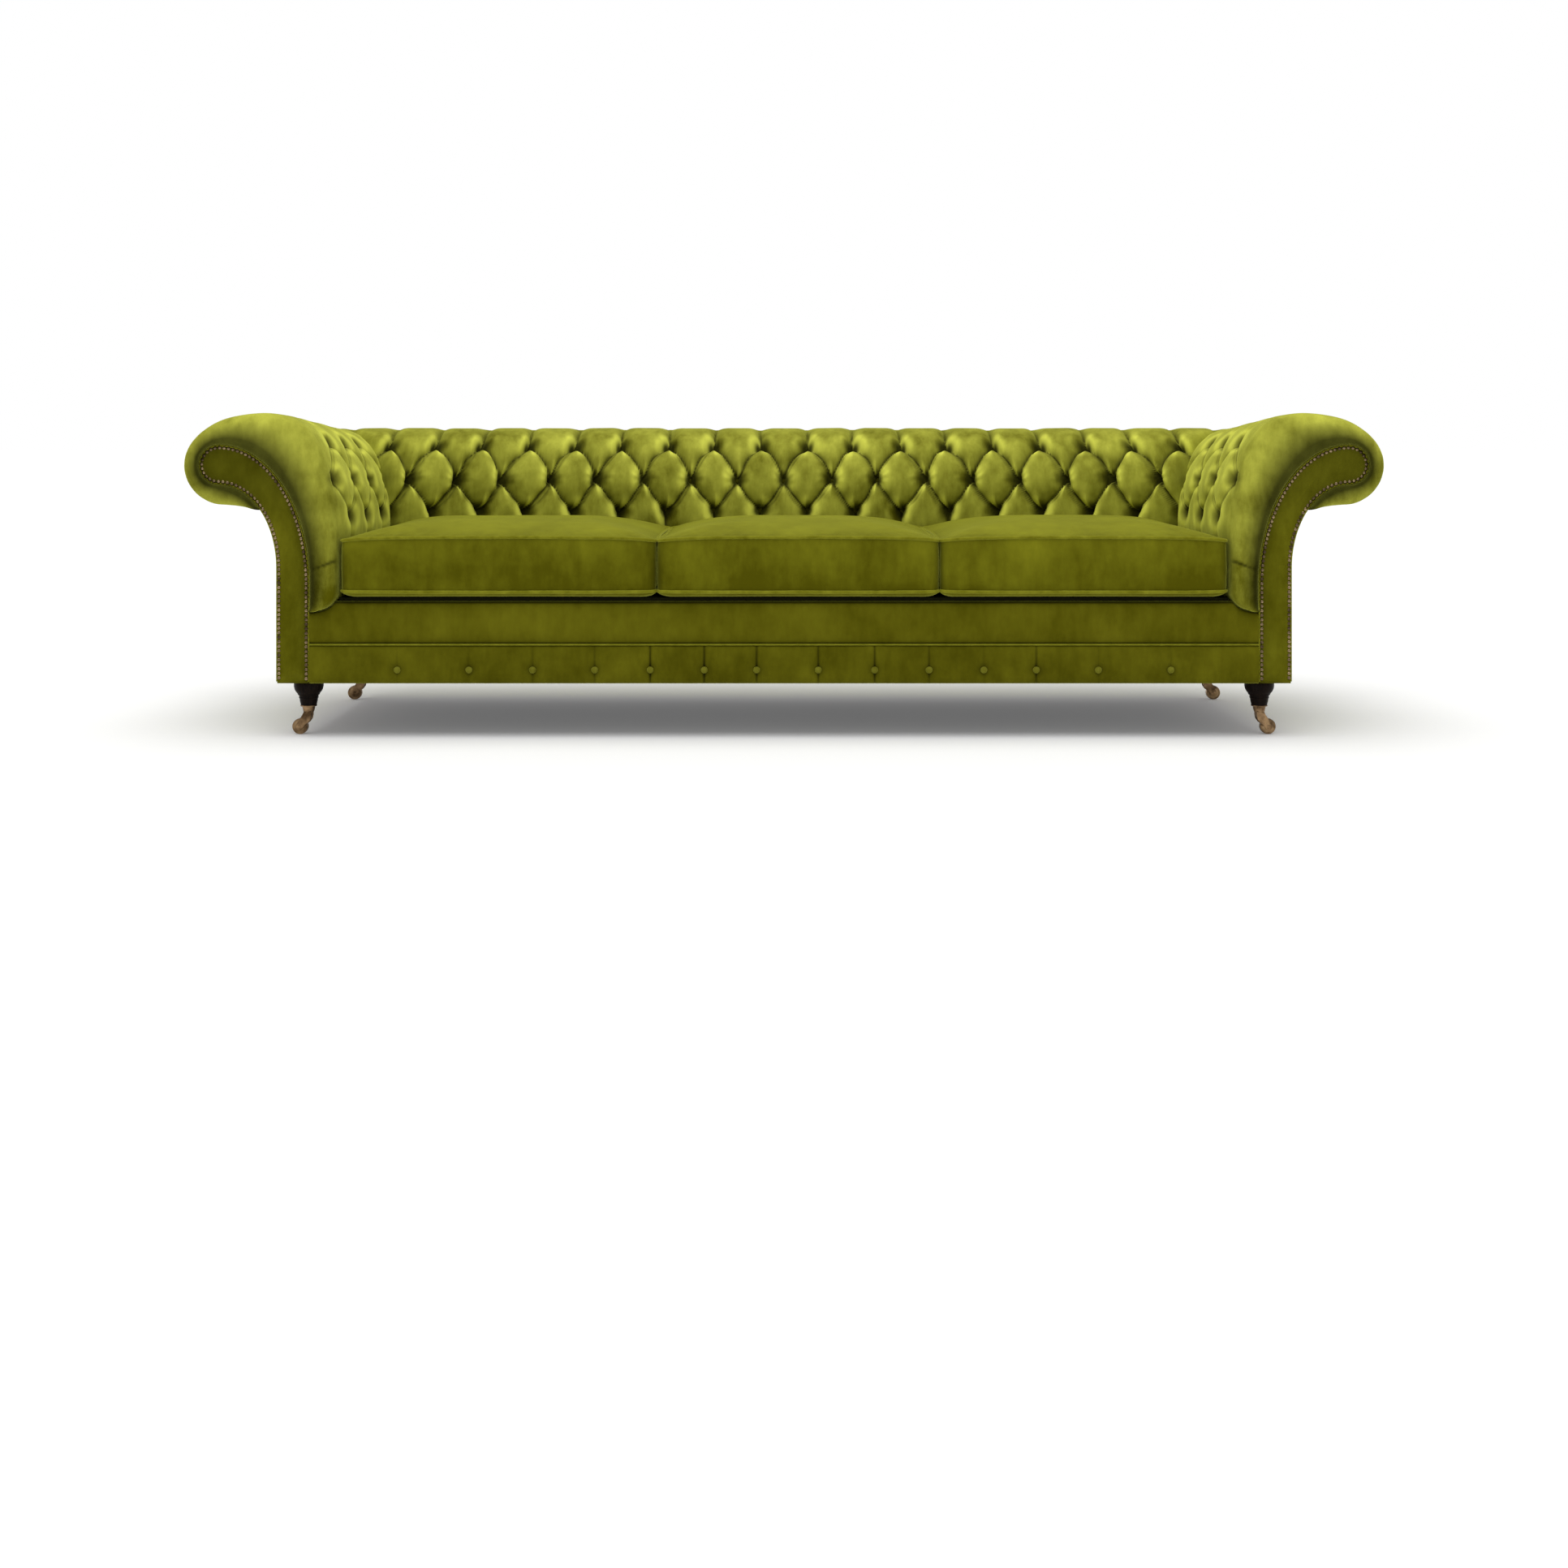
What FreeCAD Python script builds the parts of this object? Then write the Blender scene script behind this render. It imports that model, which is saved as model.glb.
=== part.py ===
import FreeCAD, Part
import math
import os

Vector = FreeCAD.Vector

# Chesterfield sofa with three loose seat cushions, on four turned legs with castors.
# Sizes in millimetres. X runs to the right, Y to the rear and Z up, from the floor under the middle.
# A place on an arm or on the back is given by its reach, outward from the face that the sitter
# leans on, and its height above the floor.

# Overall sizes
overall_depth = 950.0
seat_width = 2148.0
arm_reach = 369.0
back_reach = 310.0
arm_crest = 783.0
back_crest = 740.0

# Base frame and the bands that cover it
trim_bottom = 131.0
dust_cover_thickness = 2.0
rail_height = 167.0
rail_thickness = 28.0
front_rail_thickness = 25.0
cross_rail_height = 110.0
cross_rail_place = 360.0
block_length = 84.0
plinth_height = 94.0
border_height = 105.0
band_thickness = 22.0
plinth_proud = 3.0
facing_setback = 25.0

# Scroll-shaped boards of the arms and the back
board_thickness = 25.0
rear_board_place = 600.0
stem_reach = 68.0
stem_width = 78.0
lobe_radius = 47.0
curve_steps = 4
roll_padding = 37.0
crest_padding = 35.0
under_padding = 51.0
inner_flare_start = 371.0
outer_flare_start = 410.0
panel_thickness = 8.0
top_rail_size = 46.0
tack_rail_thickness = 25.0
tack_rail_bottom = 330.0
hessian_thickness = 2.0
upright_places = (-1080.0, -360.0, 360.0, 1080.0)

# Webbing and seat platform
web_width = 50.0
web_thickness = 2.0
web_pitch_across = 120.0
web_pitch_along = 110.0
first_web_depth = 120.0
web_count_across = 18
web_count_along = 6
deck_thickness = 36.0

# Deep buttoned padding
crest_reach = 201.0
shoulder_start = 470.0
shoulder_power = 2.5
straight_top = 440.0
roll_underside_reach = 275.0
lip_width = 12.0
lip_drop = 6.0
back_button_pitch = 127.0
arm_button_pitch = 190.0
button_columns = 18
row_step = 89.5
top_row_below_crest = 41.0
row_follow = 0.35
pit_depth = 28.0
cell_bulge = 10.0
arm_columns = 6
arm_first_column = 60.0
dimple_radius = 26.0
front_band = 36.0
front_roll_depth = 26.0
front_roll_rounding = 26.0
fold_depth = 3.0
open_cell_rise = 25.0

# Buttons
button_radius = 8.5
button_dome = 5.0
button_shank = 7.5
button_shank_radius = 3.0
button_crown_radius = 4.5
tufting_button_sides = 6
plinth_button_sides = 8
plinth_button_count = 14
plinth_button_height = 162.0
plinth_button_span = 942.0
plinth_button_spread = 0.14

# Seat cushions
left_seam = -306.0
right_seam = 374.0
cushion_gap = 1.6
cushion_side_gap = 9.0
cushion_back_gap = 12.0
cushion_front = 12.0
cushion_box_height = 144.0
cushion_underside = 12.0
cushion_underside_inset = 16.0
cushion_waist = 3.0
cushion_side_slope = 0.009
cushion_crown = 31.0
cushion_crown_inset = 240.0
cushion_crown_rings = 5
cushion_crown_power = 2.2
cushion_corner = 28.0
core_inset = 45.0
core_height = 108.0

# Turned legs
leg_place = 1160.0
front_leg_depth = 98.0
rear_leg_inset = 247.0
leg_radius = 36.0
leg_bulb_easing = 3.0
leg_waist_radius = 24.0
leg_foot_radius = 19.0
leg_sides = 20

# Castors
castor_height = 71.0
castor_plate_radius = 20.0
castor_plate_thickness = 3.0
king_pin_radius = 4.0
king_pin_length = 20.0
wheel_radius = 19.0
wheel_width = 18.0
trail = 20.0
axle_radius = 3.0
horn_boss_radius = 14.0
horn_boss_height = 26.7
boss_sides = 12
cheek_thickness = 4.0
cheek_root_height = 11.0
cheek_slope = 5.0
eye_radius = 9.0

# Clearances
seat_clearance = 0.3
cloth_clearance = 1.0
running_clearance = 0.08
wheel_side_clearance = 0.6

# Places worked out from the sizes
front_y = -overall_depth / 2
back_y = overall_depth / 2 - back_reach
arm_x = seat_width / 2
back_scale = back_reach / arm_reach
rail_bottom = trim_bottom + dust_cover_thickness
rail_top = rail_bottom + rail_height
web_top = rail_top + 2 * web_thickness
deck_top = web_top + deck_thickness
pad_bottom = web_top + seat_clearance
facing_y = front_y + facing_setback
board_y = facing_y + band_thickness
stem_outer = stem_reach + stem_width
tack_rail_top = inner_flare_start - hessian_thickness - 2 * seat_clearance
frame_outer = stem_outer - panel_thickness
lobe_reach = arm_reach - roll_padding - lobe_radius
lobe_height = back_crest - crest_padding - lobe_radius
lobe_top = lobe_height + lobe_radius
lobe_bottom = lobe_height - lobe_radius
roll_underside = lobe_bottom - under_padding
rear_frame_y = back_y + frame_outer * back_scale
side_rail_x = arm_x + frame_outer - rail_thickness
castor_swivel_z = castor_height - castor_plate_thickness - seat_clearance


def arm_place(y):
    """Gives the place in space of a point of the right arm's cross-section at depth y."""
    def place(reach, height):
        return Vector(arm_x + reach, y, height)
    return place


def back_place(x):
    """Gives the place in space of a point of the back's cross-section at x."""
    def place(reach, height):
        return Vector(x, back_y + reach * back_scale, height)
    return place


def box(x0, x1, y0, y1, z0, z1):
    return Part.makeBox(x1 - x0, y1 - y0, z1 - z0, Vector(x0, y0, z0))


def mirrored(shape):
    """The same piece on the other side of the sofa."""
    return shape.mirror(Vector(0, 0, 0), Vector(1, 0, 0))


def group(shapes):
    return Part.makeCompound(shapes)


def quarter(start, end, upright_first):
    """Points along a quarter of an ellipse, which leaves its start upright or level."""
    points = []
    for step in range(curve_steps + 1):
        angle = step * math.pi / 2 / curve_steps
        fast = math.sin(angle)
        slow = 1 - math.cos(angle)
        across, up = (slow, fast) if upright_first else (fast, slow)
        points.append((start[0] + (end[0] - start[0]) * across, start[1] + (end[1] - start[1]) * up))
    return points


def chords(points):
    """Lines from each point to the next."""
    return [list(pair) for pair in zip(points, points[1:])]


def skinned(rings):
    """A solid with flat faces between rings of corners, closed by the first and the last ring."""
    faces = [rings[0], rings[-1]]
    for ring, beyond in zip(rings, rings[1:]):
        for i in range(len(ring)):
            faces.append([ring[i - 1], ring[i], beyond[i], beyond[i - 1]])
    skin = Part.makeCompound([Part.Face(Part.makePolygon(face + face[:1])) for face in faces])
    skin.sewShape()
    solid = Part.Solid(skin.Shells[0])
    return solid if solid.Volume > 0 else solid.reversed()


def outline(segments, place):
    """A closed wire from segments of two points, a line, or three points, an arc."""
    edges = []
    for segment in segments:
        points = [place(*point) for point in segment]
        if len(points) == 2:
            edges.append(Part.LineSegment(*points).toShape())
        else:
            edges.append(Part.Arc(*points).toShape())
    return Part.Wire(edges)


def inner_flare():
    """The board's edge under the padding, from the stem up to the top of the lobe."""
    return quarter((stem_reach, inner_flare_start), (lobe_reach, lobe_top), True)


def outer_flare():
    """The board's outside edge, from under the lobe down to the stem."""
    return quarter((lobe_reach, lobe_bottom), (stem_outer, outer_flare_start), False)


def lobe():
    """The round end of the board, from its top over the outside to its bottom."""
    outermost = (lobe_reach + lobe_radius, lobe_height)
    upper = quarter((lobe_reach, lobe_top), outermost, False)
    lower = quarter(outermost, (lobe_reach, lobe_bottom), True)
    return upper + lower[1:]


def tuck_step():
    """The step of the outside edge where the padding ends and the outside covering begins."""
    return curve_steps // 2


def board_segments(bottom):
    """The outline of a scroll board: a straight stem that flares out to a round lobe."""
    stem = [[(stem_outer, outer_flare_start), (stem_outer, bottom)],
            [(stem_outer, bottom), (stem_reach, bottom)],
            [(stem_reach, bottom), (stem_reach, inner_flare_start)]]
    return chords(inner_flare()) + chords(lobe()) + chords(outer_flare()) + stem


def panel_segments():
    """The outside covering, from its tuck under the roll down to the bottom edge."""
    outer = outer_flare()[tuck_step():]
    inner = []
    for step, point in enumerate(outer):
        angle = (step + tuck_step()) * math.pi / 2 / curve_steps
        inner.append((point[0] - panel_thickness * math.sin(angle),
                      point[1] + panel_thickness * math.cos(angle)))
    foot_outer = (stem_outer, trim_bottom)
    foot_inner = (frame_outer, trim_bottom)
    return chords(outer + [foot_outer, foot_inner] + inner[::-1] + outer[:1])


def shoulder(height, crest):
    """Reach of the padding's smooth surface at a height between its straight part and its crest."""
    rise = max(0.0, (height - shoulder_start) / (crest - shoulder_start))
    rise = min(rise, 1.0)
    return crest_reach * (1 - (1 - rise ** shoulder_power) ** (1 / shoulder_power))


def shoulder_point(height, crest, proud):
    """A point that stands proud of the smooth surface, or sunk into it, square to it."""
    step = 0.5
    slope = (shoulder(height + step, crest) - shoulder(height - step, crest)) / (2 * step)
    length = math.hypot(slope, 1.0)
    return (shoulder(height, crest) - proud / length, height + proud * slope / length)


def button_rows(crest):
    """Heights of the three rows of buttons, lowest first."""
    top = back_crest - top_row_below_crest + row_follow * (crest - back_crest)
    return [top - 2 * row_step, top - row_step, top]


def padding_section(place, crest, depth, inset):
    """One cross-section of the padding that wraps over a scroll board, sunk to the depth of the pits."""
    top_row = button_rows(crest)[-1]
    rows = [shoulder_point(height, crest, -depth - inset) for height in button_rows(crest)]
    straight = (inset + depth, straight_top)
    easing = [shoulder_point(top_row + share * (crest - top_row), crest, -inset) for share in (0.45, 0.8)]
    summit = (crest_reach, crest - inset)
    outermost = (arm_reach - inset, lobe_height)
    under = (roll_underside_reach, roll_underside + inset)
    tuck = outer_flare()[tuck_step()]
    lip = (tuck[0] + lip_width, tuck[1] - lip_drop)
    points = [(straight[0], pad_bottom), straight] + rows + easing
    points += quarter(summit, outermost, False)
    points += quarter(outermost, under, True)[1:]
    points += [lip] + outer_flare()[tuck_step()::-1]
    points += lobe()[-2::-1] + inner_flare()[-2::-1]
    points += [(stem_reach, pad_bottom), (straight[0], pad_bottom)]
    return outline(chords(points), place)


def crest_at(y):
    """The arm's crest rises from the height of the back to the front of the arm."""
    share = min(1.0, (back_y - y) / (back_y - front_y))
    return back_crest + (arm_crest - back_crest) * max(0.0, share)


def back_columns():
    """Each column of buttons on the back: its x and the rows that it has, lowest row 0."""
    half = back_button_pitch / 2
    first = -(button_columns - 1) * half
    return [(first + i * half, (1,) if i % 2 else (0, 2)) for i in range(2 * button_columns - 1)]


def arm_column_places():
    """Each column of buttons on an arm: its y and the rows that it has, lowest row 0."""
    first = front_y + arm_first_column
    return [(first + i * arm_button_pitch / 2, (0, 2) if i % 2 else (1,)) for i in range(arm_columns)]


def cell(place_at, crest, corners):
    """One stuffed cell: a loft that narrows from its folds to its crown.

    Its corners are places along the row and heights, and it stands on the level of the pits."""
    low = min(height for along, height in corners)
    high = max(height for along, height in corners)
    foot = shoulder_point(low, crest, -pit_depth)
    head = shoulder_point(high, crest, -pit_depth)
    lean = (head[0] - foot[0]) / (head[1] - foot[1])
    length = math.hypot(lean, 1.0)
    mid_along = sum(along for along, height in corners) / len(corners)
    mid_height = sum(height for along, height in corners) / len(corners)
    rings = []
    for size, share in ((1.0, 0.0), (0.72, 0.62), (0.3, 1.0)):
        lift = share * (pit_depth + cell_bulge + fold_depth) - fold_depth
        points = []
        for along, height in corners:
            along = mid_along + size * (along - mid_along)
            height = mid_height + size * (height - mid_height)
            reach = foot[0] + lean * (height - foot[1])
            points.append(place_at(along)(reach - lift / length, height + lift * lean / length))
        rings.append(points)
    return skinned(rings)


def cells(place_at, crest_of, columns, along_rear):
    """The cells of a run of columns: diamonds round the middle row, open cells above and below it."""
    half = columns[1][0] - columns[0][0]
    stuffed = []
    for along, rows in columns:
        crest = crest_of(along)
        low, middle, high = button_rows(crest)
        left = along - half
        right = along + half
        if along == columns[0][0] and 0 not in rows:
            left = along
        if 0 in rows:
            stuffed.append([crest, (along, low), (right, middle), (along, high), (left, middle)])
        elif along < along_rear:
            top = high + open_cell_rise
            stuffed.append([crest, (along, middle), (right, high), (right, top), (left, top), (left, high)])
            stuffed.append([crest, (left, straight_top), (right, straight_top), (right, low),
                            (along, middle), (left, low)])
    return [cell(place_at, entry[0], entry[1:]) for entry in stuffed]


def corner_wedge(behind):
    """The space behind, or in front of, the mitre where the right arm meets the back."""
    inner = Vector(arm_x - arm_reach, back_y - back_reach, 0)
    outer = Vector(arm_x + 2 * arm_reach, back_y + 2 * back_reach, 0)
    corner = Vector(inner.x, outer.y, 0) if behind else Vector(outer.x, inner.y, 0)
    face = Part.Face(Part.makePolygon([inner, outer, corner, inner]))
    return face.extrude(Vector(0, 0, arm_crest + back_crest))


def front_dimple():
    """The pit that the foremost button draws into the smooth front of an arm's padding."""
    y = front_y + arm_first_column
    height = button_rows(crest_at(y))[1]
    pit = arm_place(y)(*shoulder_point(height, crest_at(y), -pit_depth))
    mouth = arm_place(y)(*shoulder_point(height, crest_at(y), cell_bulge))
    rings = [(button_radius, 0.0), (dimple_radius, pit_depth + cell_bulge)]
    return placed(many_sided(rings, tufting_button_sides), pit, mouth - pit)


def inside_arm():
    """Right arm's padding: round at the front, deep buttoned, mitred to the back."""
    sections = [(front_y, 0.0, front_roll_rounding),
                (front_y + front_roll_depth / 4, 0.0, front_roll_rounding / 3),
                (front_y + front_roll_depth, 0.0, 0.0),
                (front_y + front_band, 0.0, 0.0),
                (front_y + arm_first_column + arm_button_pitch / 2, pit_depth, 0.0),
                (back_y, pit_depth, 0.0),
                (back_y + back_reach, pit_depth, 0.0)]
    wires = [padding_section(arm_place(y), crest_at(y), depth, inset) for y, depth, inset in sections]
    stuffing = cells(arm_place, crest_at, arm_column_places(), back_y)
    padding = Part.makeLoft(wires, True, True).multiFuse(stuffing)
    return padding.cut(front_dimple()).cut(corner_wedge(True))


def inside_back():
    """The back's padding: deep buttoned between two mitred corners."""
    end = arm_x + arm_reach
    face = Part.Face(padding_section(back_place(-end), back_crest, pit_depth, 0.0))
    stuffing = cells(back_place, lambda x: back_crest, back_columns(), arm_x)
    corner = corner_wedge(False)
    padding = face.extrude(Vector(2 * end, 0, 0)).multiFuse(stuffing)
    return padding.cut(corner).cut(mirrored(corner))


def many_sided(rings, sides):
    """A round form with flat facets, upright at the origin, from level rings of radius and height."""
    corners = []
    for radius, height in rings:
        turns = [2 * math.pi * i / sides for i in range(sides)]
        corners.append([Vector(radius * math.cos(turn), radius * math.sin(turn), height) for turn in turns])
    return skinned(corners)


def placed(solid, where, outward):
    """The piece with its foot at a place and its own height along a direction."""
    solid.Placement = FreeCAD.Placement(where, FreeCAD.Rotation(Vector(0, 0, 1), outward))
    return solid


def pit_buttons(place, crest, rows):
    """The buttons of one column, each drawn down into its own pit on its shank."""
    rings = [(button_shank_radius, seat_clearance), (button_radius, button_shank),
             (button_crown_radius, button_shank + button_dome)]
    buttons = []
    for number in rows:
        height = button_rows(crest)[number]
        pit = place(*shoulder_point(height, crest, -pit_depth))
        mouth = place(*shoulder_point(height, crest, 0.0))
        buttons.append(placed(many_sided(rings, tufting_button_sides), pit, mouth - pit))
    return buttons


def back_buttons():
    buttons = []
    for x, rows in back_columns():
        buttons += pit_buttons(back_place(x), back_crest, rows)
    return group(buttons)


def arm_buttons():
    buttons = []
    for y, rows in arm_column_places():
        buttons += pit_buttons(arm_place(y), crest_at(y), rows)
    return group(buttons)


def plinth_buttons():
    """A row of domed buttons along the lower band, closer together at the middle."""
    half = (plinth_button_count - 1) / 2
    rings = [(button_radius, 0.0), (button_radius, button_dome / 3), (button_crown_radius, button_dome)]
    buttons = []
    for i in range(plinth_button_count):
        share = (i - half) / half
        x = plinth_button_span * share * (1 - plinth_button_spread * (1 - share ** 2))
        where = Vector(x, facing_y - plinth_proud, plinth_button_height)
        buttons.append(placed(many_sided(rings, plinth_button_sides), where, Vector(0, -1, 0)))
    return group(buttons)


def outside_arm():
    """Right arm's outside covering, mitred at the rear corner."""
    face = Part.Face(outline(panel_segments(), arm_place(board_y)))
    run = Vector(0, back_y + back_reach - board_y, 0)
    return face.extrude(run).cut(corner_wedge(True))


def outside_back():
    """The back's outside covering, mitred at both rear corners."""
    end = arm_x + arm_reach
    face = Part.Face(outline(panel_segments(), back_place(-end)))
    corner = corner_wedge(False)
    return face.extrude(Vector(2 * end, 0, 0)).cut(corner).cut(mirrored(corner))


def board(place, along, bottom):
    """A flat board with the scroll outline, clear of the padding that wraps it."""
    face = Part.Face(outline(board_segments(bottom), place))
    return face.makeOffset2D(-seat_clearance, 2).extrude(along)


def arm_board(y, bottom):
    """A scroll board of the right arm, let in behind the outside covering."""
    return board(arm_place(y), Vector(0, board_thickness, 0), bottom).cut(outside_arm())


def facing():
    """The padded facing that closes the front of the right arm."""
    return board(arm_place(facing_y), Vector(0, band_thickness, 0), trim_bottom)


def hessian_segments():
    """Stretched hessian that backs the padding between two boards."""
    outer = [(reach + seat_clearance, height - seat_clearance) for reach, height in inner_flare()]
    back = [(reach + hessian_thickness, height - hessian_thickness) for reach, height in outer]
    return chords(outer + back[::-1] + outer[:1])


def arm_hessian():
    start = board_y + board_thickness + seat_clearance
    end = front_y + rear_board_place - seat_clearance
    face = Part.Face(outline(hessian_segments(), arm_place(start)))
    return face.extrude(Vector(0, end - start, 0))


def back_hessian():
    """One sheet between each pair of uprights."""
    sheets = []
    for left, right in zip(upright_places, upright_places[1:]):
        start = left + board_thickness / 2 + seat_clearance
        end = right - board_thickness / 2 - seat_clearance
        face = Part.Face(outline(hessian_segments(), back_place(start)))
        sheets.append(face.extrude(Vector(end - start, 0, 0)))
    return group(sheets)


def arm_top_rail():
    """The bar in the arm's roll, from the front board to the rear board."""
    half = top_rail_size / 2
    x = arm_x + lobe_reach
    return box(x - half, x + half, board_y + board_thickness, front_y + rear_board_place,
               lobe_height - half, lobe_height + half)


def arm_tack_rail():
    """The low rail that the inside covering is tacked to."""
    x = arm_x + stem_reach + seat_clearance
    return box(x, x + tack_rail_thickness, board_y + board_thickness, front_y + rear_board_place,
               tack_rail_bottom, tack_rail_top)


def back_rail_end():
    return upright_places[-1] - board_thickness / 2


def back_top_rail():
    """The bar in the back's roll, through the middle uprights."""
    half = top_rail_size / 2
    y = back_y + lobe_reach * back_scale
    return box(-back_rail_end(), back_rail_end(), y - half, y + half, lobe_height - half, lobe_height + half)


def back_tack_rail():
    y = back_y + stem_reach * back_scale + seat_clearance
    return box(-back_rail_end(), back_rail_end(), y, y + tack_rail_thickness,
               tack_rail_bottom, tack_rail_top)


def back_uprights():
    """Four scroll boards that stand on the rear rail and carry the back's two long rails."""
    uprights = []
    panel = outside_back()
    for x in upright_places:
        place = back_place(x - board_thickness / 2)
        upright = board(place, Vector(board_thickness, 0, 0), rail_top - seat_clearance)
        uprights.append(upright.cut(panel).cut(back_top_rail()).cut(back_tack_rail()))
    return group(uprights)


def front_seat_rail():
    half = arm_x + stem_reach
    return box(-half, half, board_y, board_y + front_rail_thickness, rail_bottom, rail_top)


def rear_seat_rail():
    return box(-side_rail_x, side_rail_x, rear_frame_y - rail_thickness, rear_frame_y, rail_bottom, rail_top)


def side_rail():
    return box(side_rail_x, side_rail_x + rail_thickness, board_y + board_thickness, rear_frame_y,
               rail_bottom, rail_top)


def cross_rails():
    rails = []
    half = rail_thickness / 2
    for x in (-cross_rail_place, cross_rail_place):
        rails.append(box(x - half, x + half, board_y + front_rail_thickness, rear_frame_y - rail_thickness,
                         rail_top - cross_rail_height, rail_top))
    return group(rails)


def corner_blocks():
    """Blocks glued into the corners of the base frame, which the legs are screwed to."""
    blocks = []
    front = board_y + max(board_thickness, front_rail_thickness)
    rear = rear_frame_y - rail_thickness
    for y0, y1 in ((front, front + block_length), (rear - block_length, rear)):
        block = box(side_rail_x - block_length, side_rail_x, y0, y1, rail_bottom, rail_top)
        blocks += [block, mirrored(block)]
    return group(blocks)


def seat_webbing():
    """Bands from the front rail to the rear rail, with long bands over them from side to side."""
    bands = []
    half = web_width / 2
    for i in range(web_count_across):
        x = (i - (web_count_across - 1) / 2) * web_pitch_across
        bands.append(box(x - half, x + half, board_y, rear_frame_y, rail_top, rail_top + web_thickness))
    for i in range(web_count_along):
        y = front_y + first_web_depth + web_pitch_along * i
        end = side_rail_x + rail_thickness
        bands.append(box(-end, end, y - half, y + half, rail_top + web_thickness, web_top))
    return group(bands)


def seat_deck():
    """The padded platform that the loose cushions rest on."""
    half = arm_x - seat_clearance
    return box(-half, half, board_y, back_y - seat_clearance, web_top, deck_top)


def dust_cover():
    """Black cloth under the frame, cut out round the legs."""
    half = arm_x + stem_reach
    sheet = box(-half, half, board_y, rear_frame_y - rail_thickness / 2, trim_bottom, rail_bottom)
    for x in (-leg_place, leg_place):
        for depth in (front_leg_depth, overall_depth - rear_leg_inset):
            hole = Part.makeCylinder(leg_radius + cloth_clearance, dust_cover_thickness,
                                     Vector(x, front_y + depth, trim_bottom))
            sheet = sheet.cut(hole)
    return sheet


def front_border():
    """The band under the cushions, notched at its ends for the feet of the arm padding."""
    half = arm_x + stem_reach
    top = trim_bottom + plinth_height + border_height
    band = box(-half, half, facing_y, board_y, top - border_height, top)
    notch = box(arm_x - seat_clearance, half, facing_y, board_y, web_top, top)
    return band.cut(notch).cut(mirrored(notch))


def plinth_band():
    half = arm_x + stem_reach
    return box(-half, half, facing_y - plinth_proud, board_y, trim_bottom, trim_bottom + plinth_height)


def cushion_ring(x0, x1, y0, y1, height, inset):
    """A level outline of a cushion: corners eased, sides drawn in between them."""
    x0, x1, y0, y1 = x0 + inset, x1 - inset, y0 + inset, y1 - inset
    radius = min(cushion_corner, 0.4 * (x1 - x0), 0.4 * (y1 - y0))
    short = radius * (1 - math.sqrt(0.5))
    mid_x = (x0 + x1) / 2
    mid_y = (y0 + y1) / 2
    draw_y = cushion_side_slope * (mid_x - x0 - radius)
    draw_x = cushion_side_slope * (mid_y - y0 - radius)
    points = [(x0 + radius, y0), (mid_x, y0 + draw_y), (x1 - radius, y0), (x1 - short, y0 + short),
              (x1, y0 + radius), (x1 - draw_x, mid_y), (x1, y1 - radius), (x1 - short, y1 - short),
              (x1 - radius, y1), (mid_x, y1 - draw_y), (x0 + radius, y1), (x0 + short, y1 - short),
              (x0, y1 - radius), (x0 + draw_x, mid_y), (x0, y0 + radius), (x0 + short, y0 + short)]
    return [Vector(x, y, height) for x, y in points]


def cushion_spans():
    """Left and right end of each seat cushion."""
    end = arm_x - cushion_side_gap
    half_gap = cushion_gap / 2
    return {"left": (-end, left_seam - half_gap),
            "centre": (left_seam + half_gap, right_seam - half_gap),
            "right": (right_seam + half_gap, end)}


def core_box(x0, x1, clearance):
    """The foam block inside a cushion, or the space that it fills."""
    inset = core_inset - clearance
    y0 = front_y + cushion_front + inset
    y1 = back_y - cushion_back_gap - inset
    middle = deck_top + cushion_underside + (cushion_box_height - cushion_underside) / 2
    half = core_height / 2 + clearance
    return box(x0 + inset, x1 - inset, y0, y1, middle - half, middle + half)


def cushion_cover(x0, x1):
    """A boxed cushion: flat below, drawn in round its sides and crowned on top."""
    y0 = front_y + cushion_front
    y1 = back_y - cushion_back_gap
    lower_welt = deck_top + cushion_underside
    upper_welt = deck_top + cushion_box_height
    levels = [(deck_top, cushion_underside_inset), (lower_welt, 0.0),
              ((lower_welt + upper_welt) / 2, cushion_waist), (upper_welt, 0.0)]
    for ring in range(1, cushion_crown_rings + 1):
        share = ring / cushion_crown_rings
        rise = cushion_crown * (1 - (1 - share) ** cushion_crown_power)
        levels.append((upper_welt + rise, cushion_crown_inset * share))
    rings = [cushion_ring(x0, x1, y0, y1, height, inset) for height, inset in levels]
    return skinned(rings).cut(core_box(x0, x1, seat_clearance))


def leg(x, y):
    """A turned hardwood leg: bulb, waist and foot."""
    length = rail_bottom - castor_height
    neck_radius = leg_radius - leg_bulb_easing
    turning = many_sided([(leg_foot_radius, castor_height),
                          (leg_waist_radius, castor_height + 0.25 * length),
                          (neck_radius, castor_height + 0.5 * length),
                          (leg_radius, castor_height + 0.75 * length),
                          (neck_radius, rail_bottom)], leg_sides)
    turning.translate(Vector(x, y, 0))
    return turning


def castor_plate(x, y):
    """The plate screwed to the leg's foot, with the king pin that the horn turns on."""
    plate_bottom = castor_height - castor_plate_thickness
    plate = many_sided([(castor_plate_radius, plate_bottom), (castor_plate_radius, castor_height)], leg_sides)
    pin_bottom = castor_swivel_z - king_pin_length
    pin = Part.makeCylinder(king_pin_radius, plate_bottom - pin_bottom, Vector(0, 0, pin_bottom))
    plate = plate.fuse(pin)
    plate.translate(Vector(x, y, 0))
    return plate


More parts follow.
